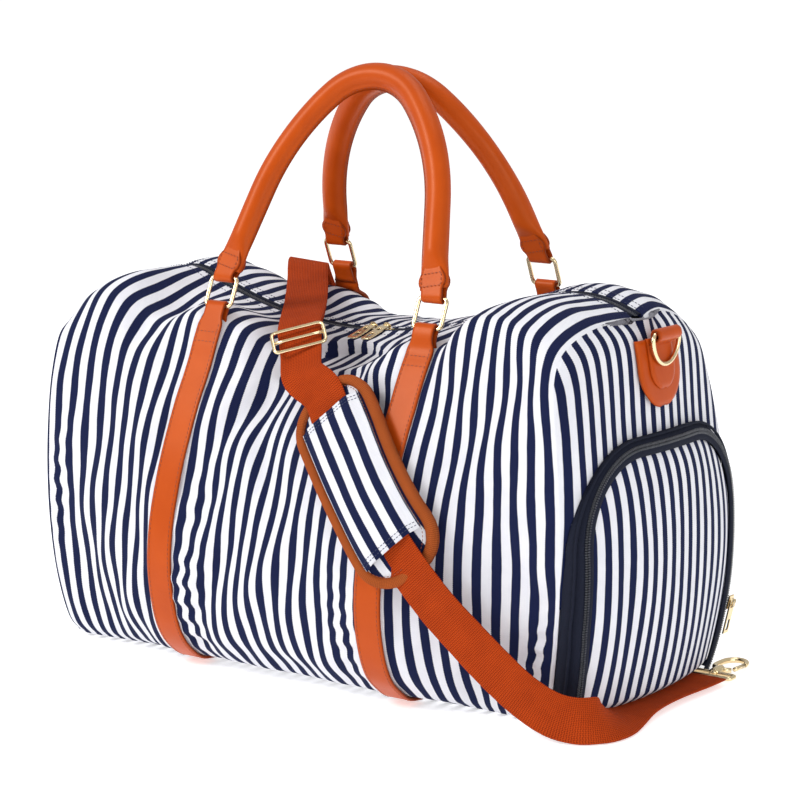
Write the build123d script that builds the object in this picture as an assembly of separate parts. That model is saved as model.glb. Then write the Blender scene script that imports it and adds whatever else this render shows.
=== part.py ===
"""Striped weekender bag: a soft canvas duffel with leather straps, rolled handles, a shoe
compartment in its right end and a webbing shoulder strap draped over it.

Millimetres. X runs along the bag, the front is -Y, Z is up, and the origin is the middle of
the base on the ground. Each sub-part is written to parts/NODE.step.
"""
from build123d import *
import os
from math import asin, cos, degrees, hypot, radians, sin, sqrt

# ---- driving dimensions -------------------------------------------------------------------
WALL = 3.0                # canvas, foam and lining together
SEAM_X = 262.0            # end seams
FLAT_X = 130.0            # the middle stretch where the section doesn't change
OVERRUN_X = 330.0         # lofts run past the ends and are trimmed by the domes
BASE_TOP = 8.0            # height where the base panel is sewn to the walls
LOFT_TOP = 345.0          # lofts stop above the top profile that trims them

# half sections: base half width, belly (y, z), shoulder (y, z), crown half width at LOFT_TOP
MIDDLE = (125.0, (179.0, 95.0), (128.0, 252.0), 71.0)
END = (118.0, (132.0, 150.0), (128.0, 280.0), 80.0)

SAG_X = -28.0             # lowest point of the top line, between the handles
SAG_Z = 290.5
SAG_R = 420.0
MOUTH_X = (-200.0, 146.0)     # the stretch of the zip that opens
ROOF_END_Z = (316.0, 324.0)   # height of the top at the left and right seams
MOUTH_HALF = 45.0             # half width of the cut for the mouth flaps
MOUTH_TRAVEL = 36.0
FLAP_THICK = 2.0
TAPE_THICK = 0.8
COIL_HALF = 2.2               # half width of the coil
SLIT = 0.3                    # half the gap between the two coil halves
HEM_Y = 5.5                   # folded edge of the fabric beside the zip

DOME_R = 700.0            # end panels bulge as caps of a sphere
DOME_APEX = (286.0, 170.0)
DOOR_R = 400.0            # the stuffed shoe compartment bulges more
DOOR_APEX = (300.0, 150.0)
TEETH_HALF = 118.0        # shoe zip: half width, top and corner radius of its line
TEETH_TOP = 225.0
TEETH_CORNER = 76.0
DOOR_HINGE = (288.5, 44.5)    # x and z of the fold the shoe flap turns on
BAND = 9.0                # visible tape each side of the shoe zip
POUCH_DEPTH = 112.0

STRAP_X = 112.5           # leather straps and handle ends
STRAP_WIDE = 27.0
LEATHER = 3.0
RING_WIDE = 32.0
RING_HIGH = 30.0
WIRE = 3.8
FRONT_BAR_Z = 311.0       # where the straps meet their rings
BACK_BAR_Z = 328.0
HANDLE_TOP = {"front": (11.0, 515.0), "back": (11.0, 512.0)}
TUBE_R = 10.5
CORE_R = 8.0
CREST_R = 62.0            # the arch is tightest at its crest
CREST_HALF = 45.0         # degrees of crest arc each side
LEG_LEAN = 12.4           # degrees the legs lean inwards
TAB_LONG = 30.0

PATCH_WIDE = 62.0
PATCH_HIGH = 55.0
PATCH_TOP = 309.0
TONGUE_WIDE = 36.0
D_PIVOT = (285.5, 314.0)
D_WIDE = 42.0
D_DROP = 26.0

WEB_WIDE = 38.0
WEB_THICK = 2.2
PAD_LONG = 172.0          # seen square to the front
PAD_WIDE = 70.0
PAD_ROUND = 28.0
PAD_THICK = 8.0
PAD_STAND = 5.7           # clears the leather strap under it
PAD_LEAN = 43.5           # degrees between the pad's length and the vertical
PAD_CENTRE = (98.0, 190.0)
SLEEVE_LONG = 128.0
BINDING = 4.5
GLIDE_WIDE = 48.0
GLIDE_HIGH = 26.0
GLIDE_WIRE = 3.2
HOOK_WIRE = 5.2
EYE_WIRE = 3.8
EYE_WIDE = 42.0
GAP = 0.3

BIG = 400.0
os.makedirs("parts", exist_ok=True)


def save(name, *solids):
    shape = solids[0] if len(solids) == 1 else Compound(children=list(solids))
    export_step(shape, f"parts/{name}.step")


def block(x, y, z):
    """Box between two limits on each axis."""
    size = Box(x[1] - x[0], y[1] - y[0], z[1] - z[0])
    return Pos((x[0] + x[1]) / 2, (y[0] + y[1]) / 2, (z[0] + z[1]) / 2) * size


def rod(start, end, radius):
    start, end = Vector(*start), Vector(*end)
    return extrude(Plane(start, z_dir=end - start) * Circle(radius), (end - start).length)


def solid(shape):
    """The one solid of a boolean's result."""
    return shape.solids().sort_by(SortBy.VOLUME)[-1]


# ---- body surfaces ------------------------------------------------------------------------
def half_section(x, shape, inset):
    base, belly, shoulder, crown = shape
    half = [(base - inset, inset), (belly[0] - inset, belly[1])]
    half += [(shoulder[0] - inset, shoulder[1]), (crown - inset, LOFT_TOP)]
    right = [Vector(x, y, z) for y, z in half]
    left = [Vector(x, -y, z) for y, z in half]
    return Wire([
        Line(left[0], right[0]).edge(),
        ThreePointArc(right[0], right[1], right[2]).edge(),
        Line(right[2], right[3]).edge(),
        Line(right[3], left[3]).edge(),
        Line(left[3], left[2]).edge(),
        ThreePointArc(left[2], left[1], left[0]).edge(),
    ])


def body_loft(inset):
    stations = [(-OVERRUN_X, END), (-SEAM_X, END), (-FLAT_X, MIDDLE)]
    stations += [(-x, shape) for x, shape in reversed(stations)]
    return Solid.make_loft([half_section(x, shape, inset) for x, shape in stations], ruled=True)


def sag_z(x):
    return SAG_Z + SAG_R - sqrt(SAG_R ** 2 - (x - SAG_X) ** 2)


def under_roof(drop):
    """Everything below the sagging top line, lowered by drop."""
    left, right = MOUTH_X
    slope = [(x - SAG_X) / (SAG_Z + SAG_R - sag_z(x)) for x in MOUTH_X]
    low = (SAG_X, 0, SAG_Z)
    start, end = (left, 0, sag_z(left)), (right, 0, sag_z(right))
    far_left, far_right = (-SEAM_X, 0, ROOF_END_Z[0]), (SEAM_X, 0, ROOF_END_Z[1])
    out_left, out_right = (-OVERRUN_X, 0, ROOF_END_Z[0] - 40), (OVERRUN_X, 0, ROOF_END_Z[1] - 40)
    edges = [
        ThreePointArc(start, low, end).edge(),
        TangentArc(end, far_right, tangent=(1, 0, slope[1])).edge(),
        Line(far_right, out_right).edge(),
        Line(out_right, (OVERRUN_X, 0, -20)).edge(),
        Line((OVERRUN_X, 0, -20), (-OVERRUN_X, 0, -20)).edge(),
        Line((-OVERRUN_X, 0, -20), out_left).edge(),
        Line(out_left, far_left).edge(),
        TangentArc(start, far_left, tangent=(-1, 0, -slope[0])).edge(),
    ]
    return Pos(0, 0, -drop) * extrude(Face(Wire(edges)), amount=BIG / 2, dir=(0, 1, 0), both=True)


def dome(apex, radius, grow=0.0, side=1):
    """Ball whose cap is an end panel; grow moves the surface outwards."""
    centre = side * (apex[0] - radius)
    return Pos(centre, 0, apex[1]) * Rot(0, 0, 90) * Sphere(radius + grow)


def arch(half, top, corner, foot):
    """Prism along X with straight legs and a rounded top."""
    side = top - corner
    flat = half - corner
    bend = corner * sin(radians(45))
    edges = [
        Line((0, -half, foot), (0, half, foot)).edge(),
        Line((0, half, foot), (0, half, side)).edge(),
        ThreePointArc((0, half, side), (0, flat + bend, side + bend), (0, flat, top)).edge(),
        Line((0, flat, top), (0, -flat, top)).edge(),
        ThreePointArc((0, -flat, top), (0, -flat - bend, side + bend), (0, -half, side)).edge(),
        Line((0, -half, side), (0, -half, foot)).edge(),
    ]
    return Pos(100, 0, 0) * extrude(Face(Wire(edges)), amount=250, dir=(1, 0, 0))


def door_arch(grow, foot):
    return arch(TEETH_HALF + grow, TEETH_TOP + grow, TEETH_CORNER + grow, foot)


loft_out = body_loft(0)
loft_in = body_loft(WALL)
roof_out = under_roof(0)
roof_in = under_roof(WALL)
ends_out = dome(DOME_APEX, DOME_R, 0, -1) & dome(DOME_APEX, DOME_R, 0, 1)
cavity = solid(loft_in & roof_in)
skin = (loft_out & roof_out & ends_out) - cavity
mouth = block(MOUTH_X, (-MOUTH_HALF, MOUTH_HALF), (200, BIG))
slit = block((-BIG, BIG), (-HEM_Y, HEM_Y), (200, BIG))

# ---- canvas panels ------------------------------------------------------------------------
above_base = (BASE_TOP, BIG)
save("front_panel", solid(skin & block((-BIG, BIG), (-BIG, 0), above_base) - mouth - slit))
save("back_panel", solid(skin & block((-BIG, BIG), (0, BIG), above_base) - mouth - slit))
save("base_panel", solid(skin & block((-BIG, BIG), (-BIG, BIG), (-1, BASE_TOP))))
left_cap = (cavity & ends_out) - dome(DOME_APEX, DOME_R, -WALL, -1)
right_cap = (cavity & ends_out) - dome(DOME_APEX, DOME_R, -WALL, 1)
save("left_end_panel", solid(left_cap & block((-BIG, 0), (-BIG, BIG), (0, BIG))))
APRON_TOP = DOOR_HINGE[1] - 1.5
right_cap = right_cap & block((0, BIG), (-BIG, BIG), (0, BIG))
around_door = (right_cap - door_arch(BAND, APRON_TOP)).solids().sort_by(Axis.Z)
save("shoe_apron", around_door[0])
save("right_end_panel", around_door[-1])

# ---- lining, board and shoe pouch ---------------------------------------------------------
LINING_TOP = 275.0
BOARD = 3.0
POUCH_WALL = 1.5
lining_out = body_loft(WALL + GAP)
lining_in = body_loft(WALL + GAP + 1.0)
pouch_x = DOME_APEX[0] - WALL - POUCH_DEPTH
lining_span = (-245, pouch_x - 4)
lining = lining_out & block(lining_span, (-BIG, BIG), (0, LINING_TOP))
lining = lining - block((lining_span[0] + 1, lining_span[1] - 1), (-BIG, BIG), (WALL + GAP + 1, BIG))
lining += (lining_out - lining_in) & block(lining_span, (-BIG, BIG), (0, LINING_TOP))
save("lining", solid(lining))
board_z = WALL + GAP + 1.0 + GAP
save("base_board", block((-235, pouch_x - 12), (-100, 100), (board_z, board_z + BOARD)))
pouch_span = block((pouch_x, 260), (-BIG, BIG), (0, BIG))
pouch = door_arch(-4, 10) & pouch_span
pouch -= door_arch(-4 - POUCH_WALL, 10 + POUCH_WALL) & block((pouch_x + 2, 300), (-BIG, BIG), (0, BIG))
save("shoe_pouch", solid(pouch & dome(DOME_APEX, DOME_R, -WALL - GAP)))

# ---- top zip ------------------------------------------------------------------------------
FLAP_TOP = WALL + 0.4
flap_x = (MOUTH_X[0] + 0.5, MOUTH_X[1] - 0.5)


def roof_band(top, bottom, x, y):
    """Strip that follows the top line between two depths below it."""
    return solid((under_roof(top) - under_roof(bottom)) & block(x, sorted(y), (200, BIG)))


for side, sign in (("front", -1), ("back", 1)):
    flap_low = FLAP_TOP + FLAP_THICK
    tape_top = flap_low + 0.1
    tape_low = tape_top + TAPE_THICK
    flap = roof_band(FLAP_TOP, flap_low, flap_x, (sign * HEM_Y, sign * (MOUTH_HALF + 1)))
    tape = roof_band(tape_top, tape_low, flap_x, (sign * SLIT, sign * 14))
    coil = roof_band(FLAP_TOP - 0.1, tape_top, flap_x, (sign * SLIT, sign * COIL_HALF))
    save(f"{side}_mouth_flap", flap)
    save(f"{side}_zip_tape", tape)
    save(f"{side}_zip_coil", coil)

fixed_ends = ((-256, MOUTH_X[0] - 0.5), (MOUTH_X[1] + 0.5, 256))
end_y = (-HEM_Y + 0.1, HEM_Y - 0.1)
coil_y = (-COIL_HALF, COIL_HALF)
save("zip_end_tapes", *[roof_band(1.6, 2.6, x, end_y) for x in fixed_ends])
save("zip_end_coils", *[roof_band(0.2, 1.6, x, coil_y) for x in fixed_ends])

SLIDER_LONG = 11.0
SLIDER_X = {"left": -14.0, "right": 1.0}
PLATE = 1.5
PULL_LONG = 26.0
PULL_WIDE = 8.5
PULL_THICK = 1.4
BAIL_Z = SAG_Z + 1.2      # the pull turns on this line at the lowest point of the zip


def at_sag(shape, x):
    """Carries a shape made at the lowest point along the top line to x."""
    angle = -degrees(asin((x - SAG_X) / SAG_R))
    return Pos(SAG_X, 0, SAG_Z + SAG_R) * Rot(0, angle, 0) * Pos(-SAG_X, 0, -SAG_Z - SAG_R) * shape


def slider_body():
    long = (SAG_X - SLIDER_LONG / 2, SAG_X + SLIDER_LONG / 2)
    top = SAG_Z - FLAP_TOP + 0.3
    low = SAG_Z - tape_low - 0.2
    body = block(long, (-4.5, 4.5), (top, top + PLATE))
    body += block(long, (-4.5, 4.5), (low - PLATE, low))
    body += block((SAG_X - 1.5, SAG_X + 1.5), (-0.15, 0.15), (low - 0.1, top + 0.1))
    bail = block((SAG_X - 2, SAG_X + 2), (-3.5, 3.5), (top + PLATE - 0.1, BAIL_Z + 2.6))
    bail -= block((SAG_X - 3, SAG_X + 3), (-2, 2), (top + PLATE, BAIL_Z + 1.2))
    return body + bail


def pull_body():
    """Plate with two cut-outs that hangs on a bar in the slider's bail."""
    low = BAIL_Z - PULL_THICK / 2
    span = (SAG_X - PULL_WIDE / 2, SAG_X + PULL_WIDE / 2)
    plate = block(span, (-4.8 - PULL_LONG, -4.8), (low, low + PULL_THICK))
    plate -= block((SAG_X - 2.2, SAG_X + 2.2), (-27, -17), (low - 1, low + 3))
    plate -= block((SAG_X - 2.2, SAG_X + 2.2), (-14, -8), (low - 1, low + 3))
    for sign in (-1, 1):
        cheek = (SAG_X + sign * 2.4, SAG_X + sign * (PULL_WIDE / 2))
        plate += block(sorted(cheek), (-5.5, 0.6), (low, low + PULL_THICK))
    return plate + rod((SAG_X - 3, 0, BAIL_Z), (SAG_X + 3, 0, BAIL_Z), 0.6)


for side, x in SLIDER_X.items():
    save(f"{side}_zip_slider", solid(at_sag(slider_body(), x)))
    save(f"{side}_zip_pull", solid(at_sag(pull_body(), x)))

# ---- shoe compartment ---------------------------------------------------------------------
door_out = dome(DOOR_APEX, DOOR_R)
door_shell = door_out - dome(DOOR_APEX, DOOR_R, -WALL)
DOOR_FOOT = DOOR_HINGE[1] + 1.5
panel = door_shell & door_arch(-BAND - 1.5, DOOR_FOOT)
inner_tape = (door_shell & door_arch(-1.8, DOOR_FOOT)) - door_arch(-BAND - 1.3, 0)
coil_shell = dome(DOOR_APEX, DOOR_R, 0.6) - dome(DOOR_APEX, DOOR_R, -1.4)
coil = (coil_shell & door_arch(1.4, APRON_TOP)) - door_arch(-1.4, 0)
outer_tape = (door_out & door_arch(BAND - 0.2, APRON_TOP)) - door_arch(1.5, 0)
outer_tape = (outer_tape - dome(DOME_APEX, DOME_R, -WALL)) & loft_in
save("shoe_flap", solid(panel))
save("shoe_flap_tape", solid(inner_tape))
save("shoe_zip_coil", solid(coil))
save("shoe_zip_tape", solid(outer_tape))
leg_r = sqrt(DOOR_R ** 2 - TEETH_HALF ** 2)
leg_centre_x = DOOR_APEX[0] - DOOR_R
SHOE_SLIDER_Z = 62.0
SHOE_SLIDER_ASIDE = 2.8   # keeps it out of the shoe flap's way
shoe_tilt = asin((DOOR_APEX[1] - SHOE_SLIDER_Z) / leg_r)


def on_leg(shape):
    """Turns a shape made at the apex height down the back leg of the shoe zip."""
    place = Pos(leg_centre_x, TEETH_HALF + SHOE_SLIDER_ASIDE, DOOR_APEX[1])
    return place * Rot(0, degrees(shoe_tilt), 0) * shape


shoe_slider = block((leg_r + 1.9, leg_r + 3.4), (-4, 4), (-6, 6))
shoe_bail = block((leg_r + 3.3, leg_r + 7.1), (-2, 2), (-3.5, 3.5))
shoe_bail -= block((leg_r + 3.4, leg_r + 5.9), (-3, 3), (-2, 2))
save("shoe_zip_slider", solid(on_leg(shoe_slider + shoe_bail)))
shoe_pull = block((leg_r + 4.0, leg_r + 5.4), (-4, 4), (-29, -4.8))
shoe_pull -= block((leg_r + 3, leg_r + 6), (-2.2, 2.2), (-26, -16))
for sign in (-1, 1):
    shoe_pull += block((leg_r + 4.0, leg_r + 5.4), sorted((sign * 2.4, sign * 4)), (-5.5, 0.6))
shoe_pull += rod((leg_r + 4.7, -3, 0), (leg_r + 4.7, 3, 0), 0.6)
save("shoe_zip_pull", solid(on_leg(shoe_pull)))

# ---- leather straps and rings -------------------------------------------------------------
LOOP_IN = WIRE / 2 + GAP
LOOP_OUT = LOOP_IN + 2.5
LOOP_WIDE = RING_WIDE - 2 * WIRE - 3.6
RING_RISE = RING_HIGH - WIRE
slope_y = MIDDLE[3] - MIDDLE[2][0]
slope_z = LOFT_TOP - MIDDLE[2][1]
slope_long = hypot(slope_y, slope_z)


def upper_face_y(z):
    """Half width of the middle section above the shoulder."""
    return MIDDLE[2][0] + slope_y * (z - MIDDLE[2][1]) / slope_z


def ring_plane(side, sign):
    """Plane of a handle and its rings: local x is X, y runs up the handle, 0 on the low bar."""
    bar_z = FRONT_BAR_Z if side == "front" else BACK_BAR_Z
    stand = LOOP_OUT + 0.5
    y = upper_face_y(bar_z) + stand * slope_z / slope_long
    z = bar_z - stand * slope_y / slope_long
    top_y, top_z = HANDLE_TOP[side]
    reach = hypot(y - top_y, top_z - z)
    up = ((y - top_y) / reach, (top_z - z) / reach)
    normal = (0, -up[1], -up[0]) if sign > 0 else (0, -up[1], up[0])
    return Plane(origin=(0, sign * y, z), x_dir=(1, 0, 0), z_dir=normal), reach


def strap(x, side, sign):
    plane, _ = ring_plane(side, sign)
    bar = plane.origin
    span = (x - STRAP_WIDE / 2, x + STRAP_WIDE / 2)
    reach_y = sorted((sign * 60, sign * BIG))
    cover = extrude(Face(half_section(0, MIDDLE, -LEATHER - 0.2)), 30, dir=(1, 0, 0))
    under = extrude(Face(half_section(0, MIDDLE, -0.2)), 30, dir=(1, 0, 0))
    leather = Pos(span[0], 0, 0) * (cover - under)
    leather = solid(leather & block(span, reach_y, (6, bar.Z)))
    loop_x = ((x - LOOP_WIDE / 2, bar.Y, bar.Z), (x + LOOP_WIDE / 2, bar.Y, bar.Z))
    clear = block((x - 20, x + 20), reach_y, (bar.Z - LOOP_OUT - 1, BIG))
    neck = leather & block((x - LOOP_WIDE / 2, x + LOOP_WIDE / 2), reach_y, (0, BIG))
    leather = (leather - clear) + neck + rod(*loop_x, LOOP_OUT)
    hole = rod((x - 20, bar.Y, bar.Z), (x + 20, bar.Y, bar.Z), LOOP_IN)
    return solid(leather - hole)


def wire_ring(plane, x):
    half = (RING_WIDE - WIRE) / 2
    corners = [(x - half, 0), (x + half, 0), (x + half, RING_RISE), (x - half, RING_RISE)]
    path = plane * FilletPolyline(*corners, radius=3.0, close=True)
    start = path.edges()[0]
    section = Plane(start @ 0.5, z_dir=start % 0.5) * Circle(WIRE / 2)
    return sweep(section, path=path.wire())


def handle_path(plane, reach, trim):
    """Arch from leg to leg: straight legs, side arcs and a tighter crest."""
    lean, crest = radians(LEG_LEAN), radians(CREST_HALF)
    wide = STRAP_X - CREST_R * sin(crest)
    drop = reach - RING_RISE - CREST_R * (1 - cos(crest))
    a, b = cos(lean) - sin(crest), sin(lean)
    c, d = cos(crest) - sin(lean), cos(lean)
    side_r = (wide * d - b * drop) / (a * d - b * c)
    leg = (a * drop - c * wide) / (a * d - b * c)
    foot = (STRAP_X - trim * sin(lean), RING_RISE + trim * cos(lean))
    knee = (STRAP_X - leg * sin(lean), RING_RISE + leg * cos(lean))
    shoulder = (CREST_R * sin(crest), reach - CREST_R * (1 - cos(crest)))
    line = Line(foot, knee)
    side = TangentArc(knee, shoulder, tangent=(-sin(lean), cos(lean)))
    crown = ThreePointArc(shoulder, (0, reach), (-shoulder[0], shoulder[1]))
    far_side = mirror(side, Plane.YZ)
    far_line = mirror(line, Plane.YZ)
    return plane * Wire([e for part in (line, side, crown, far_side, far_line) for e in part.edges()])


def tube(path, radius):
    start = path.edges().sort_by(lambda e: -(e @ 0.5).X)[0]
    low = start @ 0 if (start @ 0).Z < (start @ 1).Z else start @ 1
    high = start @ 1 if (start @ 0).Z < (start @ 1).Z else start @ 0
    return sweep(Plane(low, z_dir=high - low) * Circle(radius), path=path)


def handle_cover(plane, reach):
    cover = tube(handle_path(plane, reach, TAB_LONG - 3), TUBE_R)
    for sign in (-1, 1):
        lean = radians(LEG_LEAN)
        tab = block((-13.5, 13.5), (9, TAB_LONG + 4), (-2.5, 2.5))
        neck = block((-LOOP_WIDE / 2, LOOP_WIDE / 2), (2, 12), (-2.5, 2.5))
        eye = rod((-LOOP_WIDE / 2, 0, 0), (LOOP_WIDE / 2, 0, 0), LOOP_OUT)
        hole = rod((-20, 0, 0), (20, 0, 0), LOOP_IN)
        tab = Pos(sign * STRAP_X, RING_RISE, 0) * (Rot(0, 0, sign * degrees(lean)) * tab + neck + eye - hole)
        cover += plane.location * tab
    return cover


for side, sign in (("front", -1), ("back", 1)):
    plane, reach = ring_plane(side, sign)
    core_path = handle_path(plane, reach, TAB_LONG + 8)
    core_room = tube(core_path, CORE_R + 0.2)
    save(f"{side}_handle_cover", solid(handle_cover(plane, reach) - core_room))
    save(f"{side}_handle_core", solid(tube(core_path, CORE_R)))
    for hand, x in (("left", -STRAP_X), ("right", STRAP_X)):
        save(f"{side}_{hand}_strap", strap(x, side, sign))
        save(f"{side}_{hand}_ring", solid(wire_ring(plane, x)))

# ---- D-ring tabs --------------------------------------------------------------------------
for hand, sign in (("left", -1), ("right", 1)):
    half = PATCH_WIDE / 2
    patch = Pos(250, 0, PATCH_TOP - half) * Rot(0, 90, 0) * Cylinder(half, 100)
    patch = patch & block((200, 300), (-half, half), (PATCH_TOP - PATCH_HIGH, PATCH_TOP - half))
    patch += block((200, 300), (-half, half), (PATCH_TOP - half, PATCH_TOP))
    patch = patch & (dome(DOME_APEX, DOME_R, 2.8) - dome(DOME_APEX, DOME_R, 0.2))
    tongue_half = TONGUE_WIDE / 2
    tongue = block((200, 300), (-tongue_half, tongue_half), (PATCH_TOP - 38, PATCH_TOP))
    tongue = tongue & (dome(DOME_APEX, DOME_R, 5.3) - dome(DOME_APEX, DOME_R, 2.6))
    px, pz = D_PIVOT
    loop = rod((px, -tongue_half, pz), (px, tongue_half, pz), 4.8)
    root = block((274, px), (-tongue_half, tongue_half), (pz - 7.5, pz - 3.2))
    tab = patch + tongue + (root & dome(DOME_APEX, DOME_R, BIG) - dome(DOME_APEX, DOME_R, 0.3)) + loop
    tab -= rod((px, -60, pz), (px, 60, pz), 2.3)
    ring = rod((px, -D_WIDE / 2, pz), (px, D_WIDE / 2, pz), 2.0)
    bow = ThreePointArc((px, -D_WIDE / 2, pz), (px, 0, pz - D_DROP), (px, D_WIDE / 2, pz)).edge()
    ring += sweep(Plane(bow @ 0, z_dir=bow % 0) * Circle(2.0), path=Wire([bow]))
    ring += [Pos(px, y, pz) * Sphere(2.0) for y in (-D_WIDE / 2, D_WIDE / 2)]
    tab = solid(tab)
    ring = solid(ring)
    if sign < 0:
        tab, ring = mirror(tab, Plane.YZ), mirror(ring, Plane.YZ)
    save(f"{hand}_ring_tab", tab)
    save(f"{hand}_d_ring", ring)

# ---- shoulder strap -----------------------------------------------------------------------
# Middle line of the webbing, each point with the way its face looks there.
OVER_TOP = [
    ((-171, 177, 118), (0, 1, 0)),
    ((-171, 177, 160), (0, 1, 0.1)),
    ((-170, 166, 206), (0, 1, 0.4)),
    ((-168, 141, 252), (0, 1, 0.6)),
    ((-167, 121, 292), (0, 1, 0.8)),
    ((-166, 105, 320), (0, 0.7, 1)),
    ((-158, 90, 325), (0, 0.2, 1)),
    ((-127, 50, 318), (0, 0, 1)),
    ((-88, -2, 310), (0, 0, 1)),
    ((-52, -52, 306), (0, -0.1, 1)),
    ((-22, -95, 302), (0.1, -0.5, 1)),
    ((-15, -105, 297), (0.2, -0.8, 1)),
]
DOWN_TO_PAD = [
    ((-4, -117, 285), (0.1, -1, 1)),
    ((12, -133, 272), (0.1, -1, 0.8)),
]
TO_FLOOR = [
    ((181, -174, 103), (0.1, -1, 0)),
    ((201, -162, 79), (0.2, -1, 0)),
    ((221, -151, 57), (0.3, -1, 0)),
    ((242, -141, 38), (0.2, -1, 0)),
    ((262, -134, 25), (0.3, -1, 0)),
    ((279, -125, 21), (0.6, -1, 0)),
    ((289, -110, 20), (1, -0.5, 0)),
    ((294, -85, 20), (1, 0, 0.1)),
    ((295, -55, 17.5), (1, 0, 0.6)),
    ((294, -25, 13), (0.8, 0, 1)),
    ((291, 5, 8), (0.3, 0, 1)),
    ((288, 32, 6), (0, 0, 1)),
    ((287, 55, 5.2), (0, 0, 1)),
    ((287, 75, 5.2), (0, 0, 1)),
]


def face_point(x, z, stand):
    """Point in front of the canvas of the middle section, and the way the canvas faces there."""
    base, belly, shoulder, _ = MIDDLE
    low, high = (base + stand, -stand), (shoulder[0] + stand, shoulder[1])
    arc = ThreePointArc(low, (belly[0] + stand, belly[1]), high).edge()
    centre = arc.arc_center
    y = centre.X + sqrt(arc.radius ** 2 - (z - centre.Y) ** 2)
    out = Vector(0, centre.X - y, z - centre.Y).normalized()
    if z > shoulder[1]:
        y = upper_face_y(z) + stand
        out = Vector(0, -slope_z, -slope_y).normalized()
    return (x, -y, z), (0, out.Y, out.Z)


def along_pad(along, stand):
    lean = radians(PAD_LEAN)
    return face_point(PAD_CENTRE[0] + along * sin(lean), PAD_CENTRE[1] - along * cos(lean), stand)


THROUGH_PAD = [along_pad(28 * step, PAD_STAND + PAD_THICK + 3.4) for step in range(-3, 4)]


def ribbon(stations, count, thick, lift=0.0):
    """Closed flat strip along the first stations; lift moves it along its own normals."""
    points = [Vector(*point) for point, _ in stations]
    rings = []
    for i, (_, face) in enumerate(stations[:count]):
        ahead = points[min(i + 1, len(points) - 1)] - points[max(i - 1, 0)]
        across = ahead.cross(Vector(*face)).normalized()
        out = across.cross(ahead).normalized()
        side, up, middle = across * (WEB_WIDE / 2), out * (thick / 2), points[i] + out * lift
        rings.append([middle - side - up, middle + side - up, middle + side + up, middle - side + up])
    faces = [Face(Wire.make_polygon(rings[0])), Face(Wire.make_polygon(rings[-1]))]
    for ring, following in zip(rings, rings[1:]):
        for k in range(4):
            a, b, c, d = ring[k], ring[(k + 1) % 4], following[(k + 1) % 4], following[k]
            halves = ([a, b, c], [a, c, d]) if k < 2 else ([a, b, d], [b, c, d])
            faces += [Face(Wire.make_polygon(half)) for half in halves]
    return Solid(Shell(faces))


ROUTE = OVER_TOP + DOWN_TO_PAD + THROUGH_PAD + TO_FLOOR
save("shoulder_strap", ribbon(ROUTE, len(ROUTE), WEB_THICK))
save("strap_second_layer", ribbon(ROUTE, len(OVER_TOP), WEB_THICK, WEB_THICK + 0.2))

# ---- shoulder pad -------------------------------------------------------------------------
def face_layer(low, high):
    """Layer that follows the middle section between two heights above the canvas."""
    outer = extrude(Face(half_section(0, MIDDLE, -high)), 260, dir=(1, 0, 0))
    inner = extrude(Face(half_section(0, MIDDLE, -low)), 262, dir=(1, 0, 0))
    return (outer - Pos(-1, 0, 0) * inner) & block((0, 260), (-BIG, -60), (20, BIG))


def pad_prism(long, wide, corner):
    outline = Rot(0, 0, -90 + PAD_LEAN) * RectangleRounded(long, wide, corner)
    front = Plane(origin=(PAD_CENTRE[0], 0, PAD_CENTRE[1]), x_dir=(1, 0, 0), z_dir=(0, -1, 0))
    return extrude(front * outline, amount=BIG)


pad_top = PAD_STAND + PAD_THICK
core_prism = pad_prism(PAD_LONG - 2 * BINDING, PAD_WIDE - 2 * BINDING, PAD_ROUND - BINDING)
rim_prism = pad_prism(PAD_LONG, PAD_WIDE, PAD_ROUND)
gap_prism = pad_prism(PAD_LONG - 2 * BINDING + 0.4, PAD_WIDE - 2 * BINDING + 0.4, PAD_ROUND - BINDING)
foam = face_layer(PAD_STAND, pad_top) & core_prism
binding = face_layer(PAD_STAND - 0.5, pad_top - 0.5) & (rim_prism - gap_prism)
sleeve = face_layer(pad_top + 6.3, pad_top + 7.8) & pad_prism(SLEEVE_LONG, PAD_WIDE - 12, 3)
save("pad_base", solid(foam))
save("pad_binding", solid(binding))
save("pad_sleeve", solid(sleeve))

# ---- strap hardware -----------------------------------------------------------------------
def frame_wire(plane, corners, radius, wire):
    path = plane * FilletPolyline(*corners, radius=radius, close=True)
    start = path.edges()[0]
    return sweep(Plane(start @ 0.5, z_dir=start % 0.5) * Circle(wire / 2), path=path.wire())


glide_along = Vector(29, -24, -29).normalized()
glide_face = Vector(0.25, -0.6, 0.76)
glide_across = glide_face.cross(glide_along).normalized()
glide_up = glide_along.cross(glide_across).normalized()
glide_at = Vector(-10, -110, 291.5) + glide_up * 7.6
glide_plane = Plane(origin=glide_at, x_dir=glide_across, z_dir=glide_up)
gx, gy = (GLIDE_WIDE - GLIDE_WIRE) / 2, (GLIDE_HIGH - GLIDE_WIRE) / 2
glide = frame_wire(glide_plane, [(-gx, -gy), (gx, -gy), (gx, gy), (-gx, gy)], 4, GLIDE_WIRE)
bar_ends = [glide_plane.from_local_coords((x, 0, 0)) for x in (-gx, gx)]
glide += rod(tuple(bar_ends[0]), tuple(bar_ends[1]), GLIDE_WIRE / 2)
save("strap_glide", solid(glide))

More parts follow.
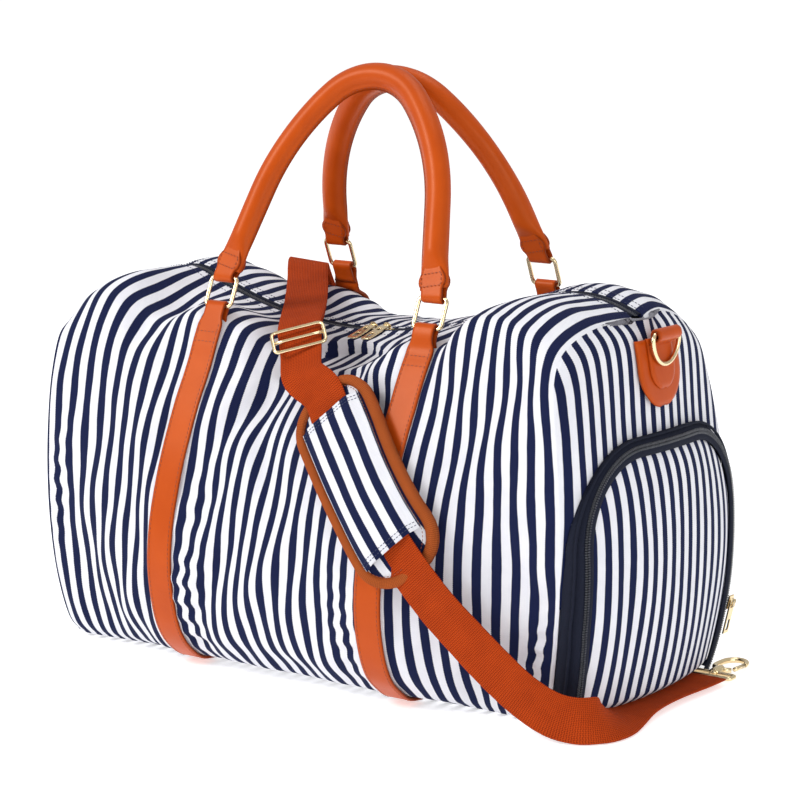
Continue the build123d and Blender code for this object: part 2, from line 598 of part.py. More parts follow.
HOOKS = {
    "front": Plane(origin=(287, 92, 5.2), x_dir=(1, 0, 0), z_dir=(0, 0, 1)),
    "back": Plane(origin=(-171, 181, 102), x_dir=(1, 0, 0), z_dir=(0, 1, 0)),
}
for name, plane in HOOKS.items():
    half = EYE_WIDE / 2
    eye = frame_wire(plane, [(-half, -14), (half, -14), (half, -3), (-half, -3)], 3, EYE_WIRE)
    local_eye = Rot(-90, 0, 0) * Cylinder(4.6, 8.5)
    bore = Rot(-90, 0, 0) * Cylinder(2.5, 20)
    eye = (eye + plane.location * (Pos(0, -0.25, 0) * local_eye)) - plane.location * bore
    bend = FilletPolyline((0, 7), (-11, 15), (-11, 37), (0, 45), (10, 39), (10, 33), radius=4)
    end = bend @ 0
    wire = HOOK_WIRE / 2
    hook = sweep(Plane(end, z_dir=bend % 0) * Circle(wire), path=bend.wire())
    hook += rod((0, -6, 0), (0, 6, 0), 2.2) + rod((0, -7, 0), (0, -5.2, 0), 3.6)
    hook += rod((0, 4.3, 0), (0, 9, 0), 4.4) + rod((0, 7.5, 0), (8.5, 12, 0), 2.4)
    gate = rod((9.3, 15.4, 0), (10, 32.6, 0), 2.0)
    save(f"{name}_hook_eye", solid(eye))
    save(f"{name}_hook", solid(plane.location * hook))
    save(f"{name}_hook_gate", solid(plane.location * gate))
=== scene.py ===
"""Striped weekender bag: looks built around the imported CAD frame.

Lengths are millimetres until a mesh is made; meshes are in metres. X runs along the bag, the
front is -Y, Z is up.
"""
import math

import bmesh
import bpy
import numpy as np
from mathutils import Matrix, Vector


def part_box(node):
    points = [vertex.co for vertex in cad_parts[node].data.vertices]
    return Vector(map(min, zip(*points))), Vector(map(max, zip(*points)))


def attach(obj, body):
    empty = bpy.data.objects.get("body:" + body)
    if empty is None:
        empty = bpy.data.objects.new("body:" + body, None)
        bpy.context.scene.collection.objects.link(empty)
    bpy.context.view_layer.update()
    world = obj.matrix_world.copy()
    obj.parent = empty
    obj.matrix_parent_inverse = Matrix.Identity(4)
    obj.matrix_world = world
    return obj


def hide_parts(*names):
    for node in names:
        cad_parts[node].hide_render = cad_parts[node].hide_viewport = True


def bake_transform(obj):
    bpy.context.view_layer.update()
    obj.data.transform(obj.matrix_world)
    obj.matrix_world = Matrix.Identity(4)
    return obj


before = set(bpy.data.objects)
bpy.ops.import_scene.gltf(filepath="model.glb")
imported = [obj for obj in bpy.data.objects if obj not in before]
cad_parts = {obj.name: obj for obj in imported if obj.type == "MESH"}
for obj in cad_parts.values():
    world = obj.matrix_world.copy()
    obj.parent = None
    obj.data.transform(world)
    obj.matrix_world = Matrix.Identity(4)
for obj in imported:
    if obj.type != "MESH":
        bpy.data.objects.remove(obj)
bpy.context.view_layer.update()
MM = 0.001

# ---- sizes, as on the part ----------------------------------------------------------------
SEAM_X = 262.0
SAG_X, SAG_Z, SAG_R = -28.0, 290.5, 420.0
MOUTH_X = (-200.0, 146.0)
ROOF_END_Z = (316.0, 324.0)
OPEN_X = (-90.0, 42.0)        # the mouth opens fully between these
SPREAD_X = (-188.0, 134.0)    # and closes to nothing at these, where the sliders stop
MOUTH_FADE = (95.0, 20.0)     # distance from the zip where the cloth starts and ends to follow
DOME_R, DOME_APEX = 700.0, (286.0, 170.0)
DOOR_R, DOOR_APEX = 440.0, (302.0, 128.0)
FRAME_DOOR_R, FRAME_DOOR_APEX = 400.0, (300.0, 150.0)    # the dome of the frame's own door
SEAM_PULL = 7.0
PULL_DROOP = 0.25             # the zip pulls follow the cloth down by this slope
TEETH_HALF, TEETH_TOP, TEETH_CORNER = 118.0, 225.0, 76.0
BAND = 9.0
STRAP_X, STRAP_WIDE = 112.5, 27.0
RING_WIDE, RING_HIGH, WIRE = 32.0, 30.0, 3.8
BAR_Z = {"front": 311.0, "back": 328.0}
HANDLE_TOP = {"front": (11.0, 515.0), "back": (11.0, 512.0)}
SIGN = {"front": -1, "back": 1}
TUBE_R, CREST_R, CREST_HALF, LEG_LEAN = 10.5, 62.0, 45.0, 12.4
LOOP_IN = WIRE / 2 + 0.3
LOOP_OUT = LOOP_IN + 2.5
LOOP_WIDE = RING_WIDE - 2 * WIRE - 3.6
TAB_WIDE = 26.5               # leather tab that folds round a ring at each end of a handle
D_PIVOT, D_WIDE, D_DROP = (285.5, 314.0), 42.0, 26.0
PATCH_WIDE, PATCH_HIGH, PATCH_TOP, TONGUE_WIDE = 62.0, 55.0, 309.0, 36.0
WEB_WIDE, WEB_THICK = 38.0, 2.2
PAD_LONG, PAD_WIDE, PAD_ROUND, PAD_LEAN = 172.0, 70.0, 28.0, 43.5
PAD_CENTRE = (98.0, 190.0)
PAD_STAND, PAD_THICK = 5.7, 8.0
GRID = 4.0
ROWS = 132


# ---- finishes -----------------------------------------------------------------------------
class Finish:
    """A material with short ways to add nodes."""

    def __init__(self, name, **fixed):
        self.mat = bpy.data.materials.new(name)
        self.mat.use_nodes = True
        self.tree = self.mat.node_tree
        self.tree.nodes.clear()
        out = self.tree.nodes.new("ShaderNodeOutputMaterial")
        self.shader = self.tree.nodes.new("ShaderNodeBsdfPrincipled")
        self.tree.links.new(self.shader.outputs[0], out.inputs[0])
        for key, value in fixed.items():
            self.shader.inputs[key.replace("_", " ")].default_value = value

    def put(self, socket, value):
        if isinstance(value, bpy.types.NodeSocket):
            self.tree.links.new(value, socket)
        else:
            socket.default_value = value

    def node(self, kind, out=0, settings=None, **inputs):
        node = self.tree.nodes.new(kind)
        for key, value in (settings or {}).items():
            setattr(node, key, value)
        for key, value in inputs.items():
            self.put(node.inputs[key.replace("_", " ")], value)
        return node.outputs[out]

    def math(self, operation, *values):
        node = self.tree.nodes.new("ShaderNodeMath")
        node.operation = operation
        for socket, value in zip(node.inputs, values):
            self.put(socket, value)
        return node.outputs[0]

    def step(self, value, low, high):
        node = self.tree.nodes.new("ShaderNodeMapRange")
        node.interpolation_type = "SMOOTHSTEP"
        for socket, item in zip(node.inputs, (value, low, high, 0.0, 1.0)):
            self.put(socket, item)
        return node.outputs[0]

    def mix(self, factor, first, second):
        node = self.tree.nodes.new("ShaderNodeMix")
        node.data_type = "RGBA"
        for index, item in ((0, factor), (6, first), (7, second)):
            self.put(node.inputs[index], item)
        return node.outputs[2]

    def noise(self, vector, scale, detail=2.0, roughness=0.5):
        return self.node("ShaderNodeTexNoise", Vector=vector, Scale=scale, Detail=detail, Roughness=roughness)

    def wave(self, value, period):
        """Runs from -1 to 1 once in each period."""
        return self.math("SINE", self.math("MULTIPLY", value, 2 * math.pi / period))

    def finish(self, color=None, rough=None, height=None, depth=0.0002, strength=1.0):
        if color is not None:
            self.put(self.shader.inputs["Base Color"], color)
        if rough is not None:
            self.put(self.shader.inputs["Roughness"], rough)
        if height is not None:
            bump = self.node("ShaderNodeBump", Height=height, Distance=depth, Strength=strength)
            self.put(self.shader.inputs["Normal"], bump)
        return self.mat

    def cloth_lines(self):
        uv = self.node("ShaderNodeUVMap", settings={"uv_map": "cloth"})
        split = self.tree.nodes.new("ShaderNodeSeparateXYZ")
        self.tree.links.new(uv, split.inputs[0])
        return uv, split.outputs[0], split.outputs[1]

    def place(self):
        return self.node("ShaderNodeTexCoord", out=3)


STRIPE = 0.014
NAVY = (0.0022, 0.0036, 0.019, 1)
# Lighter navy: painted highlight on the raised twill threads, and random tone in noise patches
NAVY_LIT = (0.014, 0.021, 0.082, 1)
WHITE = (0.83, 0.83, 0.85, 1)
# The white in shade: painted shade for the low twill threads and noise patches
WHITE_SHADE = (0.55, 0.56, 0.65, 1)


def striped_canvas():
    f = Finish("striped_canvas", Roughness=0.88, Specular_IOR_Level=0.1,
               Sheen_Weight=0.02, Sheen_Roughness=0.5)
    uv, across, along = f.cloth_lines()
    saw = f.math("ABSOLUTE", f.math("SUBTRACT", f.math("FRACT", f.math("DIVIDE", along, 0.0016)), 0.5))
    drift = f.math("MULTIPLY", f.math("SUBTRACT", f.noise(uv, 55.0), 0.5), 0.0008)
    edge = f.math("ADD", f.math("ADD", across, f.math("MULTIPLY", saw, 0.0007)), drift)
    phase = f.math("FRACT", f.math("ADD", f.math("DIVIDE", edge, STRIPE), 100.25))
    middle = f.math("ABSOLUTE", f.math("SUBTRACT", phase, 0.5))
    white = f.step(middle, 0.232, 0.262)
    twill = f.wave(f.math("ADD", across, f.math("MULTIPLY", along, 0.6)), 0.00095)
    thread = f.wave(along, 0.00062)
    weave = f.math("ADD", f.math("MULTIPLY", twill, 0.6), f.math("MULTIPLY", thread, 0.4))
    lift = f.step(weave, -0.9, 0.7)
    cloud = f.noise(uv, 38.0, 4.0, 0.6)
    # Where the navy turns lighter: the raised threads (painted highlight) plus noise (random tone)
    lit_threads_and_cloud = f.math("ADD", lift, f.math("MULTIPLY", cloud, 0.5))
    navy = f.mix(f.math("MULTIPLY", lit_threads_and_cloud, 0.6), NAVY, NAVY_LIT)
    # The white falls to its shaded copy at the low threads (painted shade) and where the noise is low (random tone)
    pale = f.mix(f.math("MULTIPLY", f.math("ADD", lift, cloud), 0.62), WHITE_SHADE, WHITE)
    height = f.math("ADD", weave, f.math("MULTIPLY", f.noise(uv, 900.0, 2.0), 0.8))
    return f.finish(f.mix(white, navy, pale), None, height, 0.00016, 0.55)


def leather(name, deep, light):
    f = Finish(name, Specular_IOR_Level=0.32, Specular_Tint=(1.0, 0.55, 0.28, 1),
               Coat_Weight=0.05, Coat_Roughness=0.22)
    place = f.place()
    grain = f.node("ShaderNodeTexVoronoi", Vector=place, Scale=1100.0, Randomness=1.0)
    fine = f.noise(place, 420.0, 3.0, 0.6)
    broad = f.noise(place, 22.0, 3.0, 0.55)
    edge = f.node("ShaderNodeAttribute", out=2, settings={"attribute_name": "edge"})
    tone = f.mix(broad, deep, light)
    worn = (deep[0] * 0.42, deep[1] * 0.35, deep[2] * 0.35, 1)
    color = f.mix(f.math("MULTIPLY", edge, 0.75), tone, worn)
    rough = f.math("ADD", 0.34, f.math("MULTIPLY", fine, 0.16))
    height = f.math("ADD", f.math("MULTIPLY", grain, 0.5), fine)
    return f.finish(color, rough, height, 0.00012, 0.35)


def webbing_finish(name, deep, light, rib=0.0030):
    f = Finish(name, Roughness=0.85, Specular_IOR_Level=0.06, Sheen_Weight=0.01, Sheen_Roughness=0.4)
    uv, across, along = f.cloth_lines()
    warp = f.wave(across, rib)
    shift = f.math("MULTIPLY", f.math("SIGN", warp), rib * 0.25)
    weft = f.wave(f.math("ADD", along, shift), rib * 0.62)
    weave = f.math("ADD", f.math("MULTIPLY", f.math("ABSOLUTE", warp), 0.9), f.math("MULTIPLY", weft, 0.55))
    fuzz = f.noise(uv, 700.0, 3.0, 0.6)
    cloud = f.noise(uv, 40.0, 2.0)
    # Raised weave threads take the light colour and the hollows take the deep one: painted shade, with noise for
    # random tone
    lift = f.step(f.math("ADD", weave, f.math("MULTIPLY", fuzz, 0.6)), 0.0, 1.25)
    tone = f.mix(f.math("MULTIPLY", f.math("ADD", lift, f.math("MULTIPLY", cloud, 0.5)), 0.75), deep, light)
    return f.finish(tone, None, f.math("ADD", weave, fuzz), 0.0004, 0.7)


def gold_finish():
    f = Finish("pale_gold", Metallic=1.0)
    place = f.place()
    smear = f.noise(place, 160.0, 3.0, 0.6)
    scratch = f.noise(place, 2600.0, 2.0)
    tone = f.mix(smear, (0.78, 0.60, 0.33, 1), (0.92, 0.77, 0.50, 1))
    rough = f.math("ADD", 0.13, f.math("MULTIPLY", f.math("ADD", smear, scratch), 0.07))
    return f.finish(tone, rough, scratch, 0.00004, 0.25)


def woven_tape(name, deep, light):
    f = Finish(name, Roughness=0.75, Specular_IOR_Level=0.15)
    uv, across, along = f.cloth_lines()
    leg = f.math("ABSOLUTE", f.math("SUBTRACT", f.math("FRACT", f.math("DIVIDE", across, 0.003)), 0.5))
    rib = f.wave(f.math("ADD", along, f.math("MULTIPLY", leg, 0.0026)), 0.0009)
    fuzz = f.noise(uv, 900.0, 2.0)
    # Rib crests take the light colour and the gaps between ribs take the deep one: painted shade, with noise for
    # random tone
    tone = f.mix(f.step(f.math("ADD", rib, fuzz), -0.6, 1.6), deep, light)
    return f.finish(tone, None, f.math("ADD", rib, fuzz), 0.0002, 0.5)


def plain_finish(name, deep, light, rough, scale, depth, **fixed):
    f = Finish(name, **fixed)
    place = f.place()
    grain = f.noise(place, scale, 3.0, 0.6)
    tone = f.mix(f.noise(place, scale / 12, 2.0), deep, light)
    return f.finish(tone, f.math("ADD", rough, f.math("MULTIPLY", grain, 0.12)), grain, depth, 0.5)


CANVAS = striped_canvas()
LEATHER = leather("cognac_leather", (0.36, 0.040, 0.0015, 1), (0.52, 0.076, 0.004, 1))
WEBBING = webbing_finish("rust_webbing", (0.10, 0.007, 0.0012, 1), (0.47, 0.056, 0.007, 1))
BINDING = webbing_finish("tan_binding", (0.13, 0.025, 0.005, 1), (0.42, 0.095, 0.022, 1), 0.0024)
GOLD = gold_finish()
TAPE = woven_tape("navy_zip_tape", (0.003, 0.004, 0.010, 1), (0.013, 0.017, 0.036, 1))
LINING = woven_tape("grey_lining", (0.13, 0.13, 0.15, 1), (0.26, 0.26, 0.29, 1))
COIL = plain_finish("black_coil", (0.030, 0.032, 0.040, 1), (0.085, 0.09, 0.105, 1), 0.22, 900, 0.00005)
BOARD = plain_finish("board_black", (0.012, 0.012, 0.012, 1), (0.03, 0.03, 0.03, 1), 0.6, 300, 0.0002)
FOAM = plain_finish("foam_core", (0.6, 0.6, 0.56, 1), (0.75, 0.74, 0.7, 1), 0.7, 400, 0.0003)
TAN_THREAD = plain_finish("tan_thread", (0.16, 0.024, 0.004, 1), (0.30, 0.050, 0.010, 1), 0.55, 900, 0.0001)
NAVY_THREAD = plain_finish("navy_thread", (0.010, 0.015, 0.05, 1), (0.03, 0.04, 0.10, 1), 0.6, 900, 0.0001)
FLOOR = plain_finish("pale_floor", (0.88, 0.88, 0.89, 1), (0.90, 0.90, 0.91, 1), 0.75, 3.0, 0.0,
                     Emission_Color=(1, 1, 1, 1), Emission_Strength=0.55)

# ---- mesh building ------------------------------------------------------------------------
def unit(v):
    v = np.asarray(v, float)
    return v / np.maximum(np.linalg.norm(v, axis=-1, keepdims=True), 1e-9)


def smoothstep(t):
    t = np.clip(t, 0, 1)
    return t * t * (3 - 2 * t)


def curve(points, step=None, count=None):
    """Even points on a smooth line through the given ones; extra columns are carried along."""
    p = np.asarray(points, float)
    p = np.vstack([2 * p[0] - p[1], p, 2 * p[-1] - p[-2]])
    t = np.linspace(0, 1, 17)[:-1, None]
    out = []
    for a, b, c, d in zip(p, p[1:], p[2:], p[3:]):
        out.append(0.5 * (2 * b + (c - a) * t + (2 * a - 5 * b + 4 * c - d) * t ** 2
                          + (3 * b - a - 3 * c + d) * t ** 3))
    out = np.vstack(out + [p[-2:-1]])
    long = np.concatenate([[0], np.cumsum(np.linalg.norm(np.diff(out[:, :3], axis=0), axis=1))])
    count = count or max(2, int(round(long[-1] / step)) + 1)
    at = np.linspace(0, long[-1], count)
    return np.stack([np.interp(at, long, column) for column in out.T], axis=1)


def lengths(points):
    return np.concatenate([[0], np.cumsum(np.linalg.norm(np.diff(points, axis=0), axis=1))])


def make(name, verts, faces, mats, uv=None, body="root", normals=None, which=None, edge=None):
    """Mesh object in metres with its faces turned outwards; it rides on a body."""
    verts = np.asarray(verts, float)
    tris = [(f[0], f[i], f[i + 1]) for f in faces for i in range(1, len(f) - 1)]
    a, b, c = (verts[[t[i] for t in tris]] for i in range(3))
    if np.einsum("ij,ij->", a, np.cross(b, c)) < 0:
        faces = [tuple(reversed(f)) for f in faces]
    mesh = bpy.data.meshes.new(name)
    mesh.from_pydata((verts * MM).tolist(), [], [tuple(int(i) for i in f) for f in faces])
    for mat in mats if isinstance(mats, (list, tuple)) else [mats]:
        mesh.materials.append(mat)
    if which is not None:
        mesh.polygons.foreach_set("material_index", which)
    mesh.shade_smooth()
    if uv is not None:
        layer = mesh.uv_layers.new(name="cloth")
        index = np.empty(len(mesh.loops), int)
        mesh.loops.foreach_get("vertex_index", index)
        layer.data.foreach_set("uv", (np.asarray(uv)[index] * MM).ravel())
    if edge is not None:
        mark = mesh.attributes.new("edge", "FLOAT", "POINT")
        mark.data.foreach_set("value", np.asarray(edge, float))
    if normals is not None:
        mesh.normals_split_custom_set_from_vertices(np.asarray(normals).tolist())
    ob = bpy.data.objects.new(name, mesh)
    bpy.context.scene.collection.objects.link(ob)
    if body:
        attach(ob, body)
    return ob


def grid_normals(grid):
    return unit(np.cross(np.gradient(grid, axis=0), np.gradient(grid, axis=1)))


def wall(name, grid, uv, mats, thick, body="root", outward=1, normals=None):
    """Closed wall whose outer face is the grid; it is thick millimetres deep."""
    n, m = grid.shape[:2]
    out = grid_normals(grid) * outward if normals is None else normals
    inner = grid - out * thick
    verts = np.concatenate([grid.reshape(-1, 3), inner.reshape(-1, 3)])
    ids = np.arange(n * m).reshape(n, m)
    deep = ids + n * m
    faces, which = [], []
    for i in range(n - 1):
        for j in range(m - 1):
            faces.append((ids[i, j], ids[i + 1, j], ids[i + 1, j + 1], ids[i, j + 1]))
            faces.append((deep[i, j], deep[i, j + 1], deep[i + 1, j + 1], deep[i + 1, j]))
            which += [0, 1 if isinstance(mats, list) else 0]
    rim = list(ids[:, 0]) + list(ids[-1, 1:]) + list(ids[-2::-1, -1]) + list(ids[0, -2:0:-1])
    for a, b in zip(rim, rim[1:] + rim[:1]):
        faces.append((a, a + n * m, b + n * m, b))
        which.append(0)
    both = np.concatenate([uv.reshape(-1, 2)] * 2)
    turned = np.concatenate([out.reshape(-1, 3), -out.reshape(-1, 3)])
    return make(name, verts, faces, mats, both, body, turned if normals is not None else None, which)


def loft(name, rings, mats, body="root", closed=False, edge=None, uv=None):
    """Skin over rings of points, with flat caps where it isn't a closed loop."""
    n, m = rings.shape[:2]
    ids = np.arange(n * m).reshape(n, m)
    faces = []
    for i in range(n if closed else n - 1):
        for j in range(m):
            k, q = (i + 1) % n, (j + 1) % m
            faces.append((ids[i, j], ids[k, j], ids[k, q], ids[i, q]))
    if not closed:
        faces += [tuple(ids[0]), tuple(reversed(ids[-1]))]
    if uv is None:
        around = lengths(rings[n // 2])
        along = lengths(rings.mean(axis=1))
        uv = np.stack(np.broadcast_arrays(around[None, :], along[:, None]), axis=-1)
    edge = None if edge is None else np.broadcast_to(edge, (n, m)).ravel()
    return make(name, rings.reshape(-1, 3), faces, mats, uv.reshape(-1, 2), body, edge=edge)


def flat_section(wide, thick, steps=3):
    """Rounded rectangle as (side, up) points, and how near each point is to an edge."""
    r = thick / 2
    points = []
    for cx, start in ((wide / 2 - r, -90), (-wide / 2 + r, 90)):
        for i in range(steps + 1):
            a = math.radians(start + 180 * i / steps)
            points.append((cx + r * math.cos(a), r * math.sin(a)))
        inner = np.linspace(cx, -cx, 12)[1:-1]
        points += [(x, math.copysign(r, cx)) for x in inner]
    points = np.array(points)
    edge = smoothstep((np.abs(points[:, 0]) - wide / 2 + 1.6) / 1.4)
    return points, edge


def round_section(radius, count=12):
    a = np.arange(count) * 2 * np.pi / count
    return np.stack([np.cos(a), np.sin(a)], axis=1) * radius


def rings_along(path, up, section, closed=False):
    """Carries a (side, up) section along a path; section may differ at each point."""
    path = np.asarray(path, float)
    if closed:
        tangent = unit(np.roll(path, -1, 0) - np.roll(path, 1, 0))
    else:
        tangent = unit(np.gradient(path, axis=0))
    side = unit(np.cross(tangent, np.broadcast_to(up, path.shape)))
    lift = np.cross(side, tangent)
    section = np.broadcast_to(section, (len(path),) + np.shape(section)[-2:])
    return path[:, None] + section[..., :1] * side[:, None] + section[..., 1:] * lift[:, None]


def wire(name, path, radius, body, closed=False, up=(0.01, 0.02, 1), count=12):
    return loft(name, rings_along(path, up, round_section(radius, count), closed), GOLD, body, closed)


def join(name, *pieces):
    """One object from several; the first one's body is kept."""
    base = pieces[0]
    with bpy.context.temp_override(active_object=base, selected_editable_objects=list(pieces)):
        bpy.ops.object.join()
    base.name = name
    base.data.name = name
    return base


# ---- stitches and zip teeth ---------------------------------------------------------------
def bead_tree():
    """Geometry nodes: one rounded bead at each pitch of a path, lying along it."""
    tree = bpy.data.node_groups.new("beads_along_path", "GeometryNodeTree")
    names = {}
    for label, kind in (("Path", "Geometry"), ("Pitch", "Float"), ("Size", "Vector"),
                        ("Slant", "Float"), ("Finish", "Material")):
        socket = tree.interface.new_socket(label, in_out="INPUT", socket_type="NodeSocket" + kind)
        names[label] = socket.identifier
    tree.interface.new_socket("Beads", in_out="OUTPUT", socket_type="NodeSocketGeometry")
    new, link = tree.nodes.new, tree.links.new
    inputs, output = new("NodeGroupInput"), new("NodeGroupOutput")
    line, even = new("GeometryNodeMeshToCurve"), new("GeometryNodeResampleCurve")
    even.mode = "LENGTH"
    bead = new("GeometryNodeMeshUVSphere")
    bead.inputs["Segments"].default_value = 8
    bead.inputs["Rings"].default_value = 5
    bead.inputs["Radius"].default_value = 0.5
    tangent = new("GeometryNodeInputTangent")
    facing = new("GeometryNodeInputNamedAttribute")
    facing.data_type = "FLOAT_VECTOR"
    facing.inputs["Name"].default_value = "out"
    turn, lean = new("FunctionNodeAlignRotationToVector"), new("FunctionNodeAlignRotationToVector")
    turn.axis, lean.axis, lean.pivot_axis = "X", "Z", "X"
    slant, spin = new("FunctionNodeRotateRotation"), new("ShaderNodeCombineXYZ")
    slant.rotation_space = "LOCAL"
    place = new("GeometryNodeInstanceOnPoints")
    solid, paint = new("GeometryNodeRealizeInstances"), new("GeometryNodeSetMaterial")
    soft = new("GeometryNodeSetShadeSmooth")
    link(inputs.outputs["Path"], line.inputs[0])
    link(line.outputs[0], even.inputs[0])
    link(inputs.outputs["Pitch"], even.inputs["Length"])
    link(tangent.outputs[0], turn.inputs["Vector"])
    link(turn.outputs[0], lean.inputs["Rotation"])
    link(facing.outputs[0], lean.inputs["Vector"])
    link(inputs.outputs["Slant"], spin.inputs["Z"])
    link(lean.outputs[0], slant.inputs["Rotation"])
    link(spin.outputs[0], slant.inputs["Rotate By"])
    link(even.outputs[0], place.inputs["Points"])
    link(bead.outputs[0], place.inputs["Instance"])
    link(slant.outputs[0], place.inputs["Rotation"])
    link(inputs.outputs["Size"], place.inputs["Scale"])
    link(place.outputs[0], solid.inputs[0])
    link(solid.outputs[0], soft.inputs[0])
    link(soft.outputs[0], paint.inputs[0])
    link(inputs.outputs["Finish"], paint.inputs["Material"])
    link(paint.outputs[0], output.inputs[0])
    return tree, names


BEADS, BEAD_INPUTS = bead_tree()


def beads(name, paths, outs, pitch, size, mat, body="root", slant=0.0):
    """Beads on one or more paths (millimetres), each facing along its outs."""
    verts, ways, edges = [], [], []
    for path, out in zip(paths, outs):
        start = len(verts)
        verts += (np.asarray(path) * MM).tolist()
        ways += np.broadcast_to(out, np.shape(path)).tolist()
        edges += [(start + i, start + i + 1) for i in range(len(path) - 1)]
    mesh = bpy.data.meshes.new(name + "_path")
    mesh.from_pydata(verts, edges, [])
    way = mesh.attributes.new("out", "FLOAT_VECTOR", "POINT")
    way.data.foreach_set("vector", np.asarray(ways, float).ravel())
    guide = bpy.data.objects.new(name + "_path", mesh)
    bpy.context.scene.collection.objects.link(guide)
    modifier = guide.modifiers.new("beads", "NODES")
    modifier.node_group = BEADS
    values = {"Pitch": pitch * MM, "Size": [s * MM for s in size], "Slant": slant, "Finish": mat}
    for label, value in values.items():
        modifier[BEAD_INPUTS[label]] = value
    solid = bpy.data.meshes.new_from_object(guide.evaluated_get(bpy.context.evaluated_depsgraph_get()))
    bpy.data.objects.remove(guide)
    solid.name = name
    ob = bpy.data.objects.new(name, solid)
    bpy.context.scene.collection.objects.link(ob)
    if body:
        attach(ob, body)
    return ob


# ---- the bag's shape ----------------------------------------------------------------------
# half sections from the base seam to the zip: (distance from the middle, height); the last
# ones give the height over the top line instead
MIDDLE_FACE = [(119, 2.5), (141, 10), (165, 33), (178, 78), (176, 126), (162, 178), (142, 226), (121, 262)]
END_FACE = [(116, 2.5), (120, 22), (124, 60), (128, 108), (131, 158), (132.5, 204), (133, 246), (130, 280)]
BACK_END_FACE = [(116, 2.5), (120, 22), (124, 60), (128, 108), (130, 158), (127, 204), (117, 241), (107, 272)]
LEFT_FULL = [13, 21, 24, 22, 18, 14, 10, 5]    # the front cloth stands this much fuller at the left end
MIDDLE_TOP = [(104, -6), (92, 2.5), (70, 4.5), (40, 2.0), (20, -0.2), (8.7, 0.2)]
END_TOP = [(119, -22), (99, -8), (68, 0.5), (40, 2.0), (22, 1.5), (8.7, 0.6)]
BACK_END_TOP = [(99, -30), (88, -19), (67, -5), (40, 3.5), (22, 3.5), (8.7, 0.6)]
DIP_FROM, DIP_TO = 7.4, 72.0    # distance from the zip where the front cloth's dips start and reach full depth
HEM = [(7.2, -0.6), (6.8, -4.0)]


def roof_z(x):
    """Height of the top line: an arc over the mouth and a parabola to each end seam."""
    x = float(x)
    inside = min(max(x, MOUTH_X[0]), MOUTH_X[1])
    z = SAG_Z + SAG_R - math.sqrt(SAG_R ** 2 - (inside - SAG_X) ** 2)
    if x == inside:
        return z
    slope = (inside - SAG_X) / math.sqrt(SAG_R ** 2 - (inside - SAG_X) ** 2)
    end_x, end_z = (SEAM_X, ROOF_END_Z[1]) if x > 0 else (-SEAM_X, ROOF_END_Z[0])
    bend = (end_z - z - slope * (end_x - inside)) / (end_x - inside) ** 2
    return z + slope * (x - inside) + bend * (x - inside) ** 2


def section(x, side):
    """Half section of the bag at x as points (distance from the middle, height)."""
    w = smoothstep((abs(x) - 100) / (SEAM_X - 100))
    top = roof_z(x)
    end_face, end_top = (END_FACE, END_TOP) if side == "front" else (BACK_END_FACE, BACK_END_TOP)
    points = [(m[0] + (e[0] - m[0]) * w, m[1] + (e[1] - m[1]) * w) for m, e in zip(MIDDLE_FACE, end_face)]
    if side == "front" and x < 0:
        points = [(y + more * w, z) for (y, z), more in zip(points, LEFT_FULL)]
    dip = 0.0
    if side == "front":
        ends = math.exp(-((x + 186) / 20) ** 2 / 2) + math.exp(-((x - 132) / 20) ** 2 / 2)
        dip = 0.29 * math.exp(-((x - 20) / 52) ** 2 / 2) + 0.30 * ends
    lift = 1 - smoothstep(abs(abs(x) - STRAP_X) / 55)
    tops = []
    for i, (m, e) in enumerate(zip(MIDDLE_TOP, end_top)):
        pulled = lift * (6.0 if x < 0 else 1.5) * (i < 3)
        fall = dip * (min(m[0], DIP_TO) - DIP_FROM)
        tops.append((m[0] + (e[0] - m[0]) * w, top + m[1] + (e[1] - m[1]) * w + pulled - fall))
    points = np.array(points + tops + [(y, top + z) for y, z in HEM])
    full = smoothstep((x + 20) / 110) * (1 - smoothstep((x - 150) / 90))
    full *= 1 - 0.95 * math.exp(-((x - STRAP_X) / 26) ** 2)
    grow = np.exp(-((points[:, 1] - 292) / 34) ** 2) * (points[:, 0] > 85)
    points[:, 0] += (9 if side == "front" else 4) * full * grow
    return points


# folds: place (x, z), half sizes along and across, turn in degrees, depth, wave length (0 for a
# plain dent); a positive depth goes inwards
FRONT_FOLDS = [
    (-32, 262, 20, 42, 12, 11, 0),
    (30, 268, 34, 26, -20, 9, 0),
    (84, 238, 15, 34, -14, 7, 0),
    (66, 276, 30, 9, 10, -6, 0),
    (-62, 226, 9, 40, 24, 5, 0),
    (-20, 205, 10, 34, -28, 4.5, 0),
    (-70, 160, 9, 42, 34, 3.5, 0),
    (-40, 120, 10, 50, 28, 3.2, 0),
    (-15, 78, 10, 48, 34, -2.8, 0),
    (-86, 60, 12, 42, 4, 1.5, 17),
    (-88, 118, 10, 36, 8, 1.2, 21),
    (-134, 210, 10, 52, -9, 2.6, 0),
    (-150, 120, 12, 62, -14, 2.4, 0),
    (-205, 215, 16, 60, 12, 3.0, 0),
    (-222, 70, 12, 40, -10, 2.4, 0),
    (84, 66, 10, 30, -6, 1.2, 16),
    (140, 84, 11, 46, -16, 2.6, 0),
    (168, 226, 13, 56, 15, 3.2, 0),
    (206, 262, 14, 34, 24, 3.4, 0),
    (214, 150, 10, 44, -6, 2.2, 0),
    (246, 110, 7, 13, -20, 2.8, 0),
    (246, 60, 6, 20, 10, 1.8, 15),
    (-250, 140, 7, 36, 8, 1.6, 19),
    (0, 22, 90, 9, 2, 2.4, 0),
]
